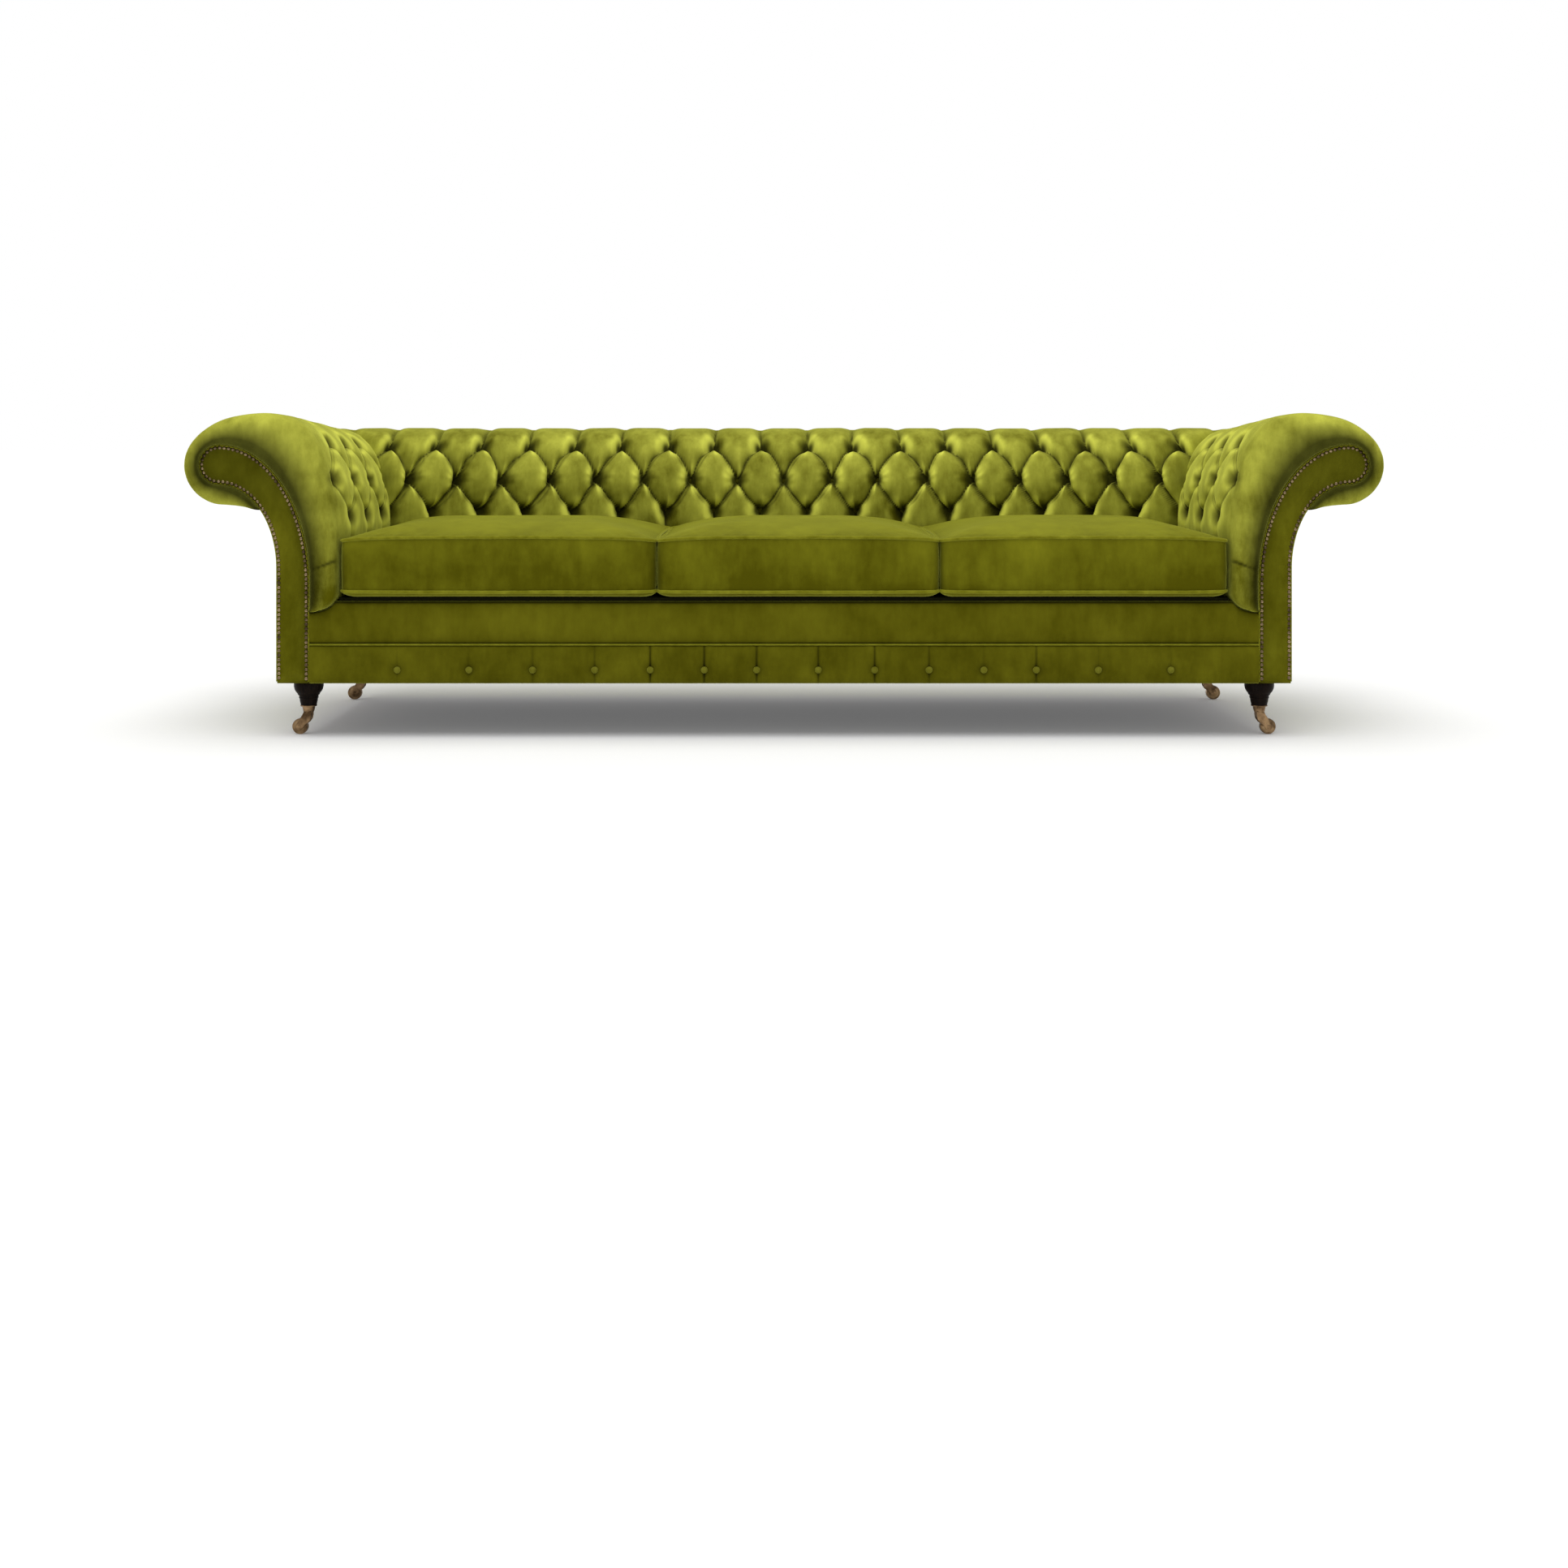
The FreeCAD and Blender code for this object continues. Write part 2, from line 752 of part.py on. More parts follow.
def cheek(side, y):
    """One cheek of the horn: it runs down from the boss, back under it, to the eye of the axle."""
    boss_bottom = castor_swivel_z - horn_boss_height
    slant = eye_radius * math.sqrt(0.5)
    root = horn_boss_radius - cheek_thickness
    high = boss_bottom + cheek_root_height
    points = [(-root, high), (-root, boss_bottom), (-root + cheek_slope, wheel_radius + slant),
              (trail - eye_radius, wheel_radius), (trail - slant, wheel_radius - slant),
              (trail, wheel_radius - eye_radius), (trail + slant, wheel_radius - slant),
              (trail + eye_radius, wheel_radius), (trail + slant, wheel_radius + slant),
              (root, high), (-root, high)]
    wire = outline(chords(points), lambda along, height: Vector(side * along, y, height))
    return Part.Face(wire).extrude(Vector(0, cheek_thickness, 0))


def horn(x, y, side):
    """The cast horn: a bored boss on the king pin, two cheeks and the axle riveted flush into them."""
    boss_bottom = castor_swivel_z - horn_boss_height
    body = many_sided([(horn_boss_radius, boss_bottom), (horn_boss_radius, castor_swivel_z)], boss_sides)
    gap = wheel_width / 2 + wheel_side_clearance
    body = body.multiFuse([cheek(side, gap), cheek(side, -gap - cheek_thickness)])
    socket_depth = king_pin_length + seat_clearance
    body = body.cut(Part.makeCylinder(king_pin_radius + running_clearance, socket_depth,
                                      Vector(0, 0, castor_swivel_z - socket_depth)))
    reach = gap + cheek_thickness
    body = body.fuse(Part.makeCylinder(axle_radius, 2 * reach,
                                       Vector(side * trail, -reach, wheel_radius), Vector(0, 1, 0)))
    body.translate(Vector(x, y, 0))
    return body.removeSplitter()


def wheel(x, y, side):
    """A solid brass wheel, bored for its axle."""
    foot = Vector(x + side * trail, y - wheel_width / 2, wheel_radius)
    tread = Part.makeCylinder(wheel_radius, wheel_width, foot, Vector(0, 1, 0))
    return tread.cut(Part.makeCylinder(axle_radius + running_clearance, wheel_width, foot, Vector(0, 1, 0)))


def frame_pieces():
    """The timber frame, its webbing and its cloth."""
    rear_board = arm_board(front_y + rear_board_place, rail_top - seat_clearance)
    front_board = arm_board(board_y, rail_bottom - seat_clearance)
    return {
        "front_seat_rail": front_seat_rail(),
        "rear_seat_rail": rear_seat_rail(),
        "right_side_rail": side_rail(),
        "left_side_rail": mirrored(side_rail()),
        "cross_rails": cross_rails(),
        "corner_blocks": corner_blocks(),
        "right_arm_front_board": front_board,
        "left_arm_front_board": mirrored(front_board),
        "right_arm_rear_board": rear_board,
        "left_arm_rear_board": mirrored(rear_board),
        "arm_top_rails": group([arm_top_rail(), mirrored(arm_top_rail())]),
        "arm_tack_rails": group([arm_tack_rail(), mirrored(arm_tack_rail())]),
        "back_uprights": back_uprights(),
        "back_top_rail": back_top_rail(),
        "back_tack_rail": back_tack_rail(),
        "seat_webbing": seat_webbing(),
        "back_hessian": back_hessian(),
        "arm_hessian": group([arm_hessian(), mirrored(arm_hessian())]),
        "seat_deck": seat_deck(),
        "dust_cover": dust_cover(),
    }


def covered_pieces():
    """The upholstery that stays on the frame."""
    arm = inside_arm()
    return {
        "inside_back": inside_back(),
        "right_inside_arm": arm,
        "left_inside_arm": mirrored(arm),
        "outside_back": outside_back(),
        "right_outside_arm": outside_arm(),
        "left_outside_arm": mirrored(outside_arm()),
        "right_facing": facing(),
        "left_facing": mirrored(facing()),
        "front_border": front_border(),
        "plinth_band": plinth_band(),
        "back_buttons": back_buttons(),
        "right_arm_buttons": arm_buttons(),
        "left_arm_buttons": mirrored(arm_buttons()),
        "plinth_buttons": plinth_buttons(),
    }


def cushion_pieces():
    pieces = {}
    for name, (x0, x1) in cushion_spans().items():
        pieces["seat_cushion_" + name] = cushion_cover(x0, x1)
        pieces["cushion_core_" + name] = core_box(x0, x1, 0.0)
    return pieces


def leg_pieces():
    """The legs, and at each a castor that trails outward."""
    legs = []
    plates = []
    pieces = {}
    for row, depth in (("front", front_leg_depth), ("rear", overall_depth - rear_leg_inset)):
        for name, side in (("left", -1), ("right", 1)):
            x = side * leg_place
            y = front_y + depth
            corner = row + "_" + name
            legs.append(leg(x, y))
            plates.append(castor_plate(x, y))
            pieces[corner + "_castor_horn"] = horn(x, y, side)
            pieces[corner + "_castor_wheel"] = wheel(x, y, side)
    pieces["turned_legs"] = group(legs)
    pieces["castor_plates"] = group(plates)
    return pieces


os.makedirs("parts", exist_ok=True)
for pieces in (frame_pieces(), covered_pieces(), cushion_pieces(), leg_pieces()):
    for node, shape in pieces.items():
        shape.exportStep("parts/" + node + ".step")
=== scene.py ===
import math
import bmesh
import bpy
import numpy as np
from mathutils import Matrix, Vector


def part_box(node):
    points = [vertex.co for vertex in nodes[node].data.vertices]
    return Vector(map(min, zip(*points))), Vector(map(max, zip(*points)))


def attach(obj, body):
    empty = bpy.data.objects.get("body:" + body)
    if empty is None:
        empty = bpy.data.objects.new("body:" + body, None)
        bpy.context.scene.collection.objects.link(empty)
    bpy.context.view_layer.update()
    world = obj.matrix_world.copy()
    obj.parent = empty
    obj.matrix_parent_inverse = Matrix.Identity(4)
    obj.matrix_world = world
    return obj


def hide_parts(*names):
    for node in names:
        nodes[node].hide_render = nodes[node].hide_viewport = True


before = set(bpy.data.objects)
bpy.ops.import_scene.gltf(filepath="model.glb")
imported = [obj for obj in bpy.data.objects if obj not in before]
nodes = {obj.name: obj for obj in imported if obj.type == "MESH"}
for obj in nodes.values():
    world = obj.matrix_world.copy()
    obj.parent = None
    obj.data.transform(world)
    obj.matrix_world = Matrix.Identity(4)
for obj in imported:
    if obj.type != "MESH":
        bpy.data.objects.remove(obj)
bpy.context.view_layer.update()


# Timber frame: beech rails and scroll boards, sawn, glued and screwed together.
# All of it is closed in by the covers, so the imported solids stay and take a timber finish.

def feed(tree, node, inputs):
    """Sets a node's inputs, each to a value or to the output of another node."""
    for key, value in inputs.items():
        if isinstance(value, bpy.types.NodeSocket):
            tree.links.new(value, node.inputs[key])
        else:
            node.inputs[key].default_value = value
    return node


def add_node(tree, kind, inputs=None, **settings):
    node = tree.nodes.new(kind)
    for key, value in settings.items():
        setattr(node, key, value)
    return feed(tree, node, inputs or {})


def maths(tree, operation, *values):
    return add_node(tree, "ShaderNodeMath", dict(enumerate(values)), operation=operation).outputs[0]


def new_finish(name):
    """A new material, with its tree and its shader."""
    finish = bpy.data.materials.new(name)
    finish.use_nodes = True
    return finish, finish.node_tree, finish.node_tree.nodes["Principled BSDF"]


def ramp(tree, source, *stops):
    """A value turned into a colour by two stops, each a place and a colour."""
    node = add_node(tree, "ShaderNodeValToRGB", {"Fac": source})
    for element, (place, colour) in zip(node.color_ramp.elements, stops):
        element.position = place
        element.color = (*colour, 1.0)
    return node.outputs["Color"]


def cloud(tree, stretch, scale, detail=6.0, roughness=0.5):
    """Noise on object coordinates, drawn out where stretch is small."""
    place = add_node(tree, "ShaderNodeTexCoord").outputs["Object"]
    mapped = add_node(tree, "ShaderNodeMapping", {"Vector": place, "Scale": stretch}).outputs["Vector"]
    return add_node(tree, "ShaderNodeTexNoise", {"Vector": mapped, "Scale": scale, "Detail": detail,
                                                 "Roughness": roughness}).outputs["Fac"]


def bump(tree, shader, height, strength, distance):
    node = add_node(tree, "ShaderNodeBump", {"Strength": strength, "Distance": distance, "Height": height})
    tree.links.new(node.outputs["Normal"], shader.inputs["Normal"])


def dress(names, finish):
    """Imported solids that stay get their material."""
    for name in names:
        mesh = nodes[name].data
        mesh.materials.clear()
        mesh.materials.append(finish)


def new_group(name, inputs, outputs):
    """A node group with its named sockets, and what comes in at its inputs."""
    group = bpy.data.node_groups.new(name, "ShaderNodeTree")
    for way, sockets in (("INPUT", inputs), ("OUTPUT", outputs)):
        for socket, kind in sockets.items():
            group.interface.new_socket(socket, in_out=way, socket_type="NodeSocket" + kind)
    return group, add_node(group, "NodeGroupInput").outputs


def grain_of(tree, stretch, fineness):
    return add_node(tree, "ShaderNodeGroup", {"Stretch": stretch, "Fineness": fineness},
                    node_tree=timber_grain).outputs["Grain"]


timber_grain, entry = new_group("timber_grain", {"Stretch": "Vector", "Fineness": "Float"}, {"Grain": "Float"})
add_node(timber_grain, "NodeGroupOutput", {"Grain": cloud(timber_grain, entry["Stretch"], entry["Fineness"])})
beech, tree, shader = new_finish("sawn_beech")
grain = grain_of(tree, (2.0, 2.0, 30.0), 6.0)
feed(tree, shader, {"Base Color": ramp(tree, grain, (0.3, (0.36, 0.21, 0.10)), (0.7, (0.52, 0.34, 0.18))),
                    "Roughness": 0.75})
bump(tree, shader, grain, 0.3, 0.0006)
dress([name for name in nodes if name.endswith(("_rail", "_rails", "_board", "_uprights", "_blocks"))], beech)


# Webbing and hessian: jute bands and sheets, tacked over the frame to carry the stuffing.
# They lie between the covers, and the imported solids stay.

def weave_group():
    """A plain weave: the highest of three sets of threads that cross on object coordinates."""
    group, entry = new_group("plain_weave", {"Threads": "Float"}, {"Weave": "Float"})
    place = add_node(group, "ShaderNodeTexCoord").outputs["Object"]
    waves = [add_node(group, "ShaderNodeTexWave", {"Vector": place, "Scale": entry["Threads"]},
                      bands_direction=axis).outputs["Fac"] for axis in "XYZ"]
    weave = maths(group, "MAXIMUM", maths(group, "MAXIMUM", waves[0], waves[1]), waves[2])
    add_node(group, "NodeGroupOutput", {"Weave": weave})
    return group


plain_weave = weave_group()


def cloth_finish(name, dark, light, threads):
    finish, tree, shader = new_finish(name)
    weave = add_node(tree, "ShaderNodeGroup", {"Threads": threads}, node_tree=plain_weave).outputs["Weave"]
    feed(tree, shader, {"Base Color": ramp(tree, weave, (0.1, dark), (0.9, light)),
                        "Roughness": 0.95, "Specular IOR Level": 0.15})
    bump(tree, shader, weave, 0.5, 0.0004)
    return finish


dress(["seat_webbing", "back_hessian", "arm_hessian"],
      cloth_finish("jute", (0.16, 0.11, 0.06), (0.34, 0.26, 0.16), 160.0))


# Inside back: velvet over hair and wadding, deep buttoned in three rows, rolled over the top boards.
# Each button pulls the velvet down into a pit, and the fullness is laid in folds from pit to pit.

ARM_FACE = 1.074                    # face of each arm's padding, and of the back's, from the middle
BACK_FACE = 0.165
BACK_CREST = 0.740                  # height of the roll along the back, and at the front of the arms
FRONT_CREST = 0.783
PAD_FOOT = 0.306                    # the padding's foot, and where its upright face starts to lean
PAD_LEAN = 0.470
LEAN_POWER = 0.8
CREST_REACH = 0.201                 # reach of the crest behind the face; reach and height of the
PAD_TIP = (0.369, 0.658)            # roll's tip, its underside and its tuck
PAD_UNDER = (0.275, 0.560)
PAD_TUCK = (0.212, 0.554)
BACK_SCALE = 0.310 / PAD_TIP[0]     # the back's roll reaches less far than the arms'
BOARD_RISE = (0.068, 0.371)         # the scroll board: top of its upright edge, nose, tip, chin, waist
BOARD_NOSE = (0.285, 0.705)
BOARD_TIP = (0.332, 0.658)
BOARD_CHIN = (0.285, 0.611)
BOARD_WAIST = (0.146, 0.410)
TOP_ROW = 0.041                     # the top row of buttons below the crest, and the step to the next
ROW_STEP = 0.0895
BACK_PITCH = 0.127                  # from button to button along a row
CROWN = 0.012                       # how far the cells stand proud, and how far the skin may sink
SKIN_SINK = 0.0035
BACK_FOLDS = (0.0255, 0.037, 1.0)   # the back's folds: depth of a crease and of a pit, and stretch
PAD_SHARES = np.concatenate([np.linspace(0.0, 0.12, 24)[:-1], np.linspace(0.12, 0.60, 106)[:-1],
                             np.linspace(0.60, 1.0, 44)])


def grow(value, start, length):
    """0 up to start and 1 from a length beyond it; a negative length grows downward."""
    return np.clip((value - start) / length, 0.0, 1.0)


def bell(distance, width):
    return np.exp(-(distance / width) ** 2)


def flow(u, v, scale, seed):
    """Slow unevenness of stuffing, from -1 to 1."""
    total = np.zeros(np.broadcast(u, v).shape)
    for i in range(4):
        a, b, c = 1.7 * i + seed, 2.9 * i + 0.6 * seed, 0.8 * i + 1.9 * seed
        across = u * scale * (1 + 0.61 * i) * math.cos(a) + v * scale * (1 + 0.47 * i) * math.sin(a)
        total = total + np.sin(across + b) * np.cos(v * scale * (0.8 + 0.5 * i) + c)
    return total / 4


def quarter_line(start, end, upright_first, count):
    """Points of a quarter of an ellipse, which leaves its start upright or level."""
    turn = np.linspace(0.0, math.pi / 2, count)
    fast, slow = np.sin(turn), 1.0 - np.cos(turn)
    across, up = (slow, fast) if upright_first else (fast, slow)
    return np.stack([start[0] + (end[0] - start[0]) * across, start[1] + (end[1] - start[1]) * up], 1)


def scroll_edge(counts):
    """The four quarters of the scroll board's edge, with a count of points for each."""
    stops = (BOARD_RISE, BOARD_NOSE, BOARD_TIP, BOARD_CHIN, BOARD_WAIST)
    return [quarter_line(start, end, number % 2 == 0, count)
            for number, (start, end, count) in enumerate(zip(stops, stops[1:], counts))]


def board_edge(shares):
    """The scroll board's edge behind the padding, at shares that go with the padding's own."""
    inner, nose, chin, flare = scroll_edge((60, 24, 24, 40))
    line = np.concatenate([[(BOARD_RISE[0], PAD_FOOT)], inner, nose[1:], chin[1:], flare[1:21]])
    stops, counts = (0.055, 0.56, 0.72, 0.88, 1.0), (60, 24, 24, 21)
    marks = np.concatenate([[0.0, stops[0]]] + [np.linspace(start, end, count)[1:]
                                                for start, end, count in zip(stops, stops[1:], counts)])
    return np.stack([np.interp(shares, marks, line[:, 0]), np.interp(shares, marks, line[:, 1])], 1)


def on_back(line, across):
    """A section's line set behind the back's face, at a share of the back's half width."""
    return np.stack([across * (ARM_FACE + line[:, 0]), BACK_FACE + line[:, 0] * BACK_SCALE, line[:, 1]], -1)


def pad_line(crest):
    """Cross-section of the smooth padding: up the face, over the crest and under the roll."""
    straight = np.stack([np.zeros(40), np.linspace(PAD_FOOT, PAD_LEAN, 40)], 1)
    turn = np.linspace(0.0, math.pi / 2, 160)
    shoulder = np.stack([CREST_REACH * (1.0 - np.cos(turn) ** LEAN_POWER),
                         PAD_LEAN + (crest - PAD_LEAN) * np.sin(turn) ** LEAN_POWER], 1)
    over = quarter_line((CREST_REACH, crest), PAD_TIP, False, 100)
    under = quarter_line(PAD_TIP, PAD_UNDER, True, 70)
    lip = np.linspace(PAD_UNDER, PAD_TUCK, 30)
    return np.concatenate([straight, shoulder[1:], over[1:], under[1:], lip[1:]])


def row_heights(crest):
    """Heights of the three rows of buttons, lowest first."""
    top = BACK_CREST - TOP_ROW + 0.35 * (crest - BACK_CREST)
    return [top - 2 * ROW_STEP, top - ROW_STEP, top]


def pad_section(crest, shares):
    """Points of the padding's cross-section at shares of its length, outward directions,
    the distance of each point above the middle row, and how far the low and top rows are from it."""
    line = pad_line(crest)
    along = np.concatenate([[0.0], np.cumsum(np.hypot(*np.diff(line, axis=0).T))])

    def place(at):
        return np.stack([np.interp(at, along, line[:, 0]), np.interp(at, along, line[:, 1])], 1)

    at = shares * along[-1]
    run = place(at + 0.004) - place(at - 0.004)
    run /= np.hypot(run[:, 0], run[:, 1])[:, None]
    outward = np.stack([-run[:, 1], run[:, 0]], 1)
    rising = line[:int(np.argmax(line[:, 1])) + 1, 1]
    low, middle, top = [np.interp(z, rising, along[:len(rising)]) for z in row_heights(crest)]
    return place(at), outward, at - middle, middle - low, top - middle


def fold_depth(u, v, low, top, pitch, first, crease, pit, stretch):
    """How far the velvet lies below its crowns, how far each point is from a button, and painted shade along
    the fine fold lines.

    u runs along the rows and v across them, from the middle row, which has a button at first.
    crease is how deep a fold is between its buttons, pit how deep it is at them, and stretch how far
    the pits are drawn out along the rows."""
    half = pitch / 2
    u = u + 0.0024 * np.sin(u * 31.0 + v * 17.0) + 0.0016 * np.sin(u * 73.0 + 1.3)
    v = v + 0.0024 * np.sin(u * 41.0 + 0.7) + 0.0014 * np.sin(u * 97.0 + v * 23.0)
    x = np.abs((u - first + half) % pitch - half)
    column = np.floor((u - first + half) / pitch)
    uneven = np.sin(column * 2.399 + 0.6)
    depth, crease_shade = np.zeros_like(u), np.zeros_like(u)

    def fold(ax, av, bx, bv, bow):
        """Distance to a bowed fold, the share of its length there, and the side it is on."""
        run_x, run_v = bx - ax, bv - av
        length = math.hypot(run_x, run_v)
        share = np.clip(((x - ax) * run_x + (v - av) * run_v) / length ** 2, 0.0, 1.0)
        off_x, off_v = x - ax - share * run_x, v - av - share * run_v
        side = (off_x * run_v - off_v * run_x) / length
        past = np.maximum(off_x ** 2 + off_v ** 2 - side ** 2, 0.0)
        side = side + bow * np.sin(math.pi * share)
        return np.sqrt(side ** 2 + past + 0.0012 ** 2) - 0.0012, share, side

    def pillow(away, radius):
        """1 in the fold, 0 at the crown of the stuffing."""
        return 1.0 - (1.0 - (1.0 - grow(away, 0.0, radius)) ** 2.2) ** 0.60

    for sign, rise, bow in ((1.0, top, 0.0085), (-1.0, low, -0.0030)):
        # a fold between two buttons, with a fine second crease beside it, and painted shade along both
        away, share, side = fold(0.0, 0.0, half, sign * rise, bow * pitch / BACK_PITCH)
        wide = min(half * rise / math.hypot(half, rise), 0.046)
        sunk = crease + (pit - crease) * np.abs(2 * share - 1) ** 2.5
        depth = np.maximum(depth, sunk * pillow(away, wide))
        crease_shade = np.maximum(crease_shade, 0.55 * bell(away, 0.0026))
        offset = (0.0085 + 0.0025 * uneven) * (0.4 + 0.6 * np.sin(math.pi * share))
        second = bell(side - offset, 0.0023) * np.sin(math.pi * share) ** 0.6
        depth = depth + 0.14 * crease * second
        crease_shade = np.maximum(crease_shade, 0.42 * second)
        # a pleat that runs out from the outer button over the roll or down to the seat, with painted shade
        # along it
        away, share, side = fold(half, sign * rise, half, sign * (rise + 0.17), 0.0)
        depth = np.maximum(depth, pit * (1.0 - share) ** 0.55 * pillow(away, 0.036))
        crease_shade = np.maximum(crease_shade, 0.60 * bell(away, 0.0030) * (1.0 - share))
    middle = np.hypot(x / stretch, v)
    beside = (x - half) / stretch
    near = np.minimum(middle, np.minimum(np.hypot(beside, v - top), np.hypot(beside, v + low)))
    turn = np.arctan2(v, x - half * (near < middle))
    depth = depth + 0.010 * bell(near, 0.016)
    depth = depth + 0.0013 * np.sin(turn * 9.0 + column) * bell(near - 0.024, 0.013)
    return depth, near, crease_shade


def proud(depth, v, low, top):
    """How far the skin stands out of the smooth padding, with its cells and its folds."""
    above, below = grow(v, top + 0.02, 0.20), grow(-v, low + 0.02, 0.10)
    rise = CROWN * (1.0 - above ** 2 * (3 - 2 * above)) * (1.0 - below ** 2 * (3 - 2 * below))
    return rise - depth * grow(rise, -SKIN_SINK, CROWN + SKIN_SINK)


def mitred(out, away, v, top):
    """Draws the skin into the crease where the back meets an arm, fading over the roll."""
    near = bell(away, 0.016)
    return out * (1 - near) - 0.012 * (1.0 - grow(v, top, 0.10)) * near


def painted_fold_shade(depth, near, crease_shade):
    """Painted shade of the folds, from 0 on a crown to 1 in a pit, deepest round each button and along the fold
    lines.
    """
    return np.clip((np.maximum(depth, 0.0) / 0.041) ** 1.5 + 0.90 * bell(near, 0.0190) + crease_shade, 0.0, 1.0)


def painted_light_and_pile_tone(upward, near, u, v, seed, flank_highlight_strength):
    """Painted light on the pile: lighter on what faces up and on the flanks round a button, with a random
    unevenness of tone.
    """
    flank_highlight = flank_highlight_strength * bell(near - 0.031, 0.011)
    return np.clip(upward, 0.0, 1.0) * 0.22 + flank_highlight + 0.15 * flow(u, v, 24.0, seed)


def new_object(name, data):
    piece = bpy.data.objects.new(name, data)
    bpy.context.scene.collection.objects.link(piece)
    return piece


def skin_mesh(name, grid, endless=False):
    """A closed form from a grid of points: rows of the run, each a ring, with flat ends or none."""
    rows, across = grid.shape[:2]
    index = np.arange(rows * across).reshape(rows, across)
    here, ahead = index, np.roll(index, -1, 0)
    if not endless:
        here, ahead = here[:-1], ahead[:-1]
    faces = np.stack([here, ahead, np.roll(ahead, -1, 1), np.roll(here, -1, 1)], -1).reshape(-1, 4).tolist()
    if not endless:
        faces += [index[0].tolist(), index[-1][::-1].tolist()]
    mesh = bpy.data.meshes.new(name)
    mesh.from_pydata(grid.reshape(-1, 3).tolist(), [], faces)
    mesh.validate()
    mesh.polygons.foreach_set("use_smooth", [True] * len(mesh.polygons))
    shell = bmesh.new()
    shell.from_mesh(mesh)
    bmesh.ops.recalc_face_normals(shell, faces=shell.faces)
    if shell.calc_volume(signed=True) < 0:
        bmesh.ops.reverse_faces(shell, faces=shell.faces)
    shell.to_mesh(mesh)
    shell.free()
    return new_object(name, mesh)


def clothe(piece, finish, fold=0.0, lie_and_painted_light=0.0):
    """Gives a skin its velvet, with two values at each point: the painted shade of its folds, and the painted
    light and random tone of its pile.
    """
    for name, values in (("fold", fold), ("lie_and_painted_light", lie_and_painted_light)):
        attribute = piece.data.attributes.new(name, "FLOAT", "POINT")
        spread = np.zeros(len(piece.data.vertices), np.float32) + np.asarray(values, np.float32).ravel()
        attribute.data.foreach_set("value", spread)
    piece.data.materials.append(finish)


def velvet_group():
    """Velvet's colour and pile: lighter where the skin carries painted light, darker in its painted shade, with
    random patches and streaks, and darkened again by the painted shade of the folds.
    """
    group, entry = new_group("velvet_pile_and_painted_light", {
        "Open pile and painted light": "Color", "Deep pile and painted shade": "Color", "Painted fold shade": "Float", "Lie and painted light": "Float", "Patch size": "Float",
        "Patchiness": "Float"}, {"Colour": "Color", "Pile": "Float", "Roughness": "Float"})
    patches = cloud(group, (1.0, 1.0, 1.0), entry["Patch size"], 4.0, 0.62)
    streaks = cloud(group, (1.0, 1.0, 0.35), 42.0, 5.0, 0.62)
    grain = cloud(group, (1.0, 1.0, 1.0), 900.0, 2.0, 0.62)
    # the tone adds random patches, streaks and grain to the painted light and shade that the skin carries
    tone = maths(group, "MULTIPLY_ADD", patches, entry["Patchiness"], entry["Lie and painted light"])
    tone = maths(group, "MULTIPLY_ADD", streaks, 0.55, tone)
    tone = maths(group, "MULTIPLY_ADD", grain, 0.30, tone)
    tone = add_node(group, "ShaderNodeClamp", {"Value": maths(group, "SUBTRACT", tone, 0.80)}).outputs[0]
    cloth = add_node(group, "ShaderNodeMix", {"Factor": tone, "A": entry["Deep pile and painted shade"], "B": entry["Open pile and painted light"]},
                     data_type="RGBA").outputs["Result"]
    # painted shade: the colour is darkened where the skin lies in a fold or a pit
    painted_fold_shade_factor = maths(group, "MULTIPLY_ADD", entry["Painted fold shade"], -0.90, 1.0)
    shaded = add_node(group, "ShaderNodeMix", {"Factor": 1.0, "A": cloth, "B": painted_fold_shade_factor},
                      data_type="RGBA", blend_type="MULTIPLY").outputs["Result"]
    add_node(group, "NodeGroupOutput", {"Colour": shaded,
                                        "Pile": maths(group, "MULTIPLY_ADD", streaks, 0.6, grain),
                                        "Roughness": maths(group, "MULTIPLY_ADD", grain, 0.2, 0.72)})
    return group


velvet_pile_and_painted_light = velvet_group()


def velvet_finish(name, open_pile_and_painted_light, deep_pile_and_painted_shade, patch=9.0, lie_and_painted_light=0.0, patchiness=1.15):
    """A cut of the velvet: a constant raises its tone everywhere, on top of the painted light and shade that
    each skin carries, and patch is how small its worn patches are.
    """
    finish, tree, shader = new_finish(name)
    fold_shade, lie_and_light = [add_node(tree, "ShaderNodeAttribute", attribute_name=kept).outputs["Fac"]
                      for kept in ("fold", "lie_and_painted_light")]
    pile = add_node(tree, "ShaderNodeGroup", {
        "Open pile and painted light": (*open_pile_and_painted_light, 1.0), "Deep pile and painted shade": (*deep_pile_and_painted_shade, 1.0), "Painted fold shade": fold_shade,
        "Lie and painted light": maths(tree, "ADD", lie_and_light, lie_and_painted_light), "Patch size": patch, "Patchiness": patchiness},
        node_tree=velvet_pile_and_painted_light).outputs
    feed(tree, shader, {"Base Color": pile["Colour"], "Roughness": pile["Roughness"],
                        "Specular IOR Level": 0.04, "Sheen Weight": 0.9, "Sheen Roughness": 0.34,
                        "Sheen Tint": (0.80, 0.84, 0.14, 1.0)})
    bump(tree, shader, pile["Pile"], 0.35, 0.0012)
    return finish


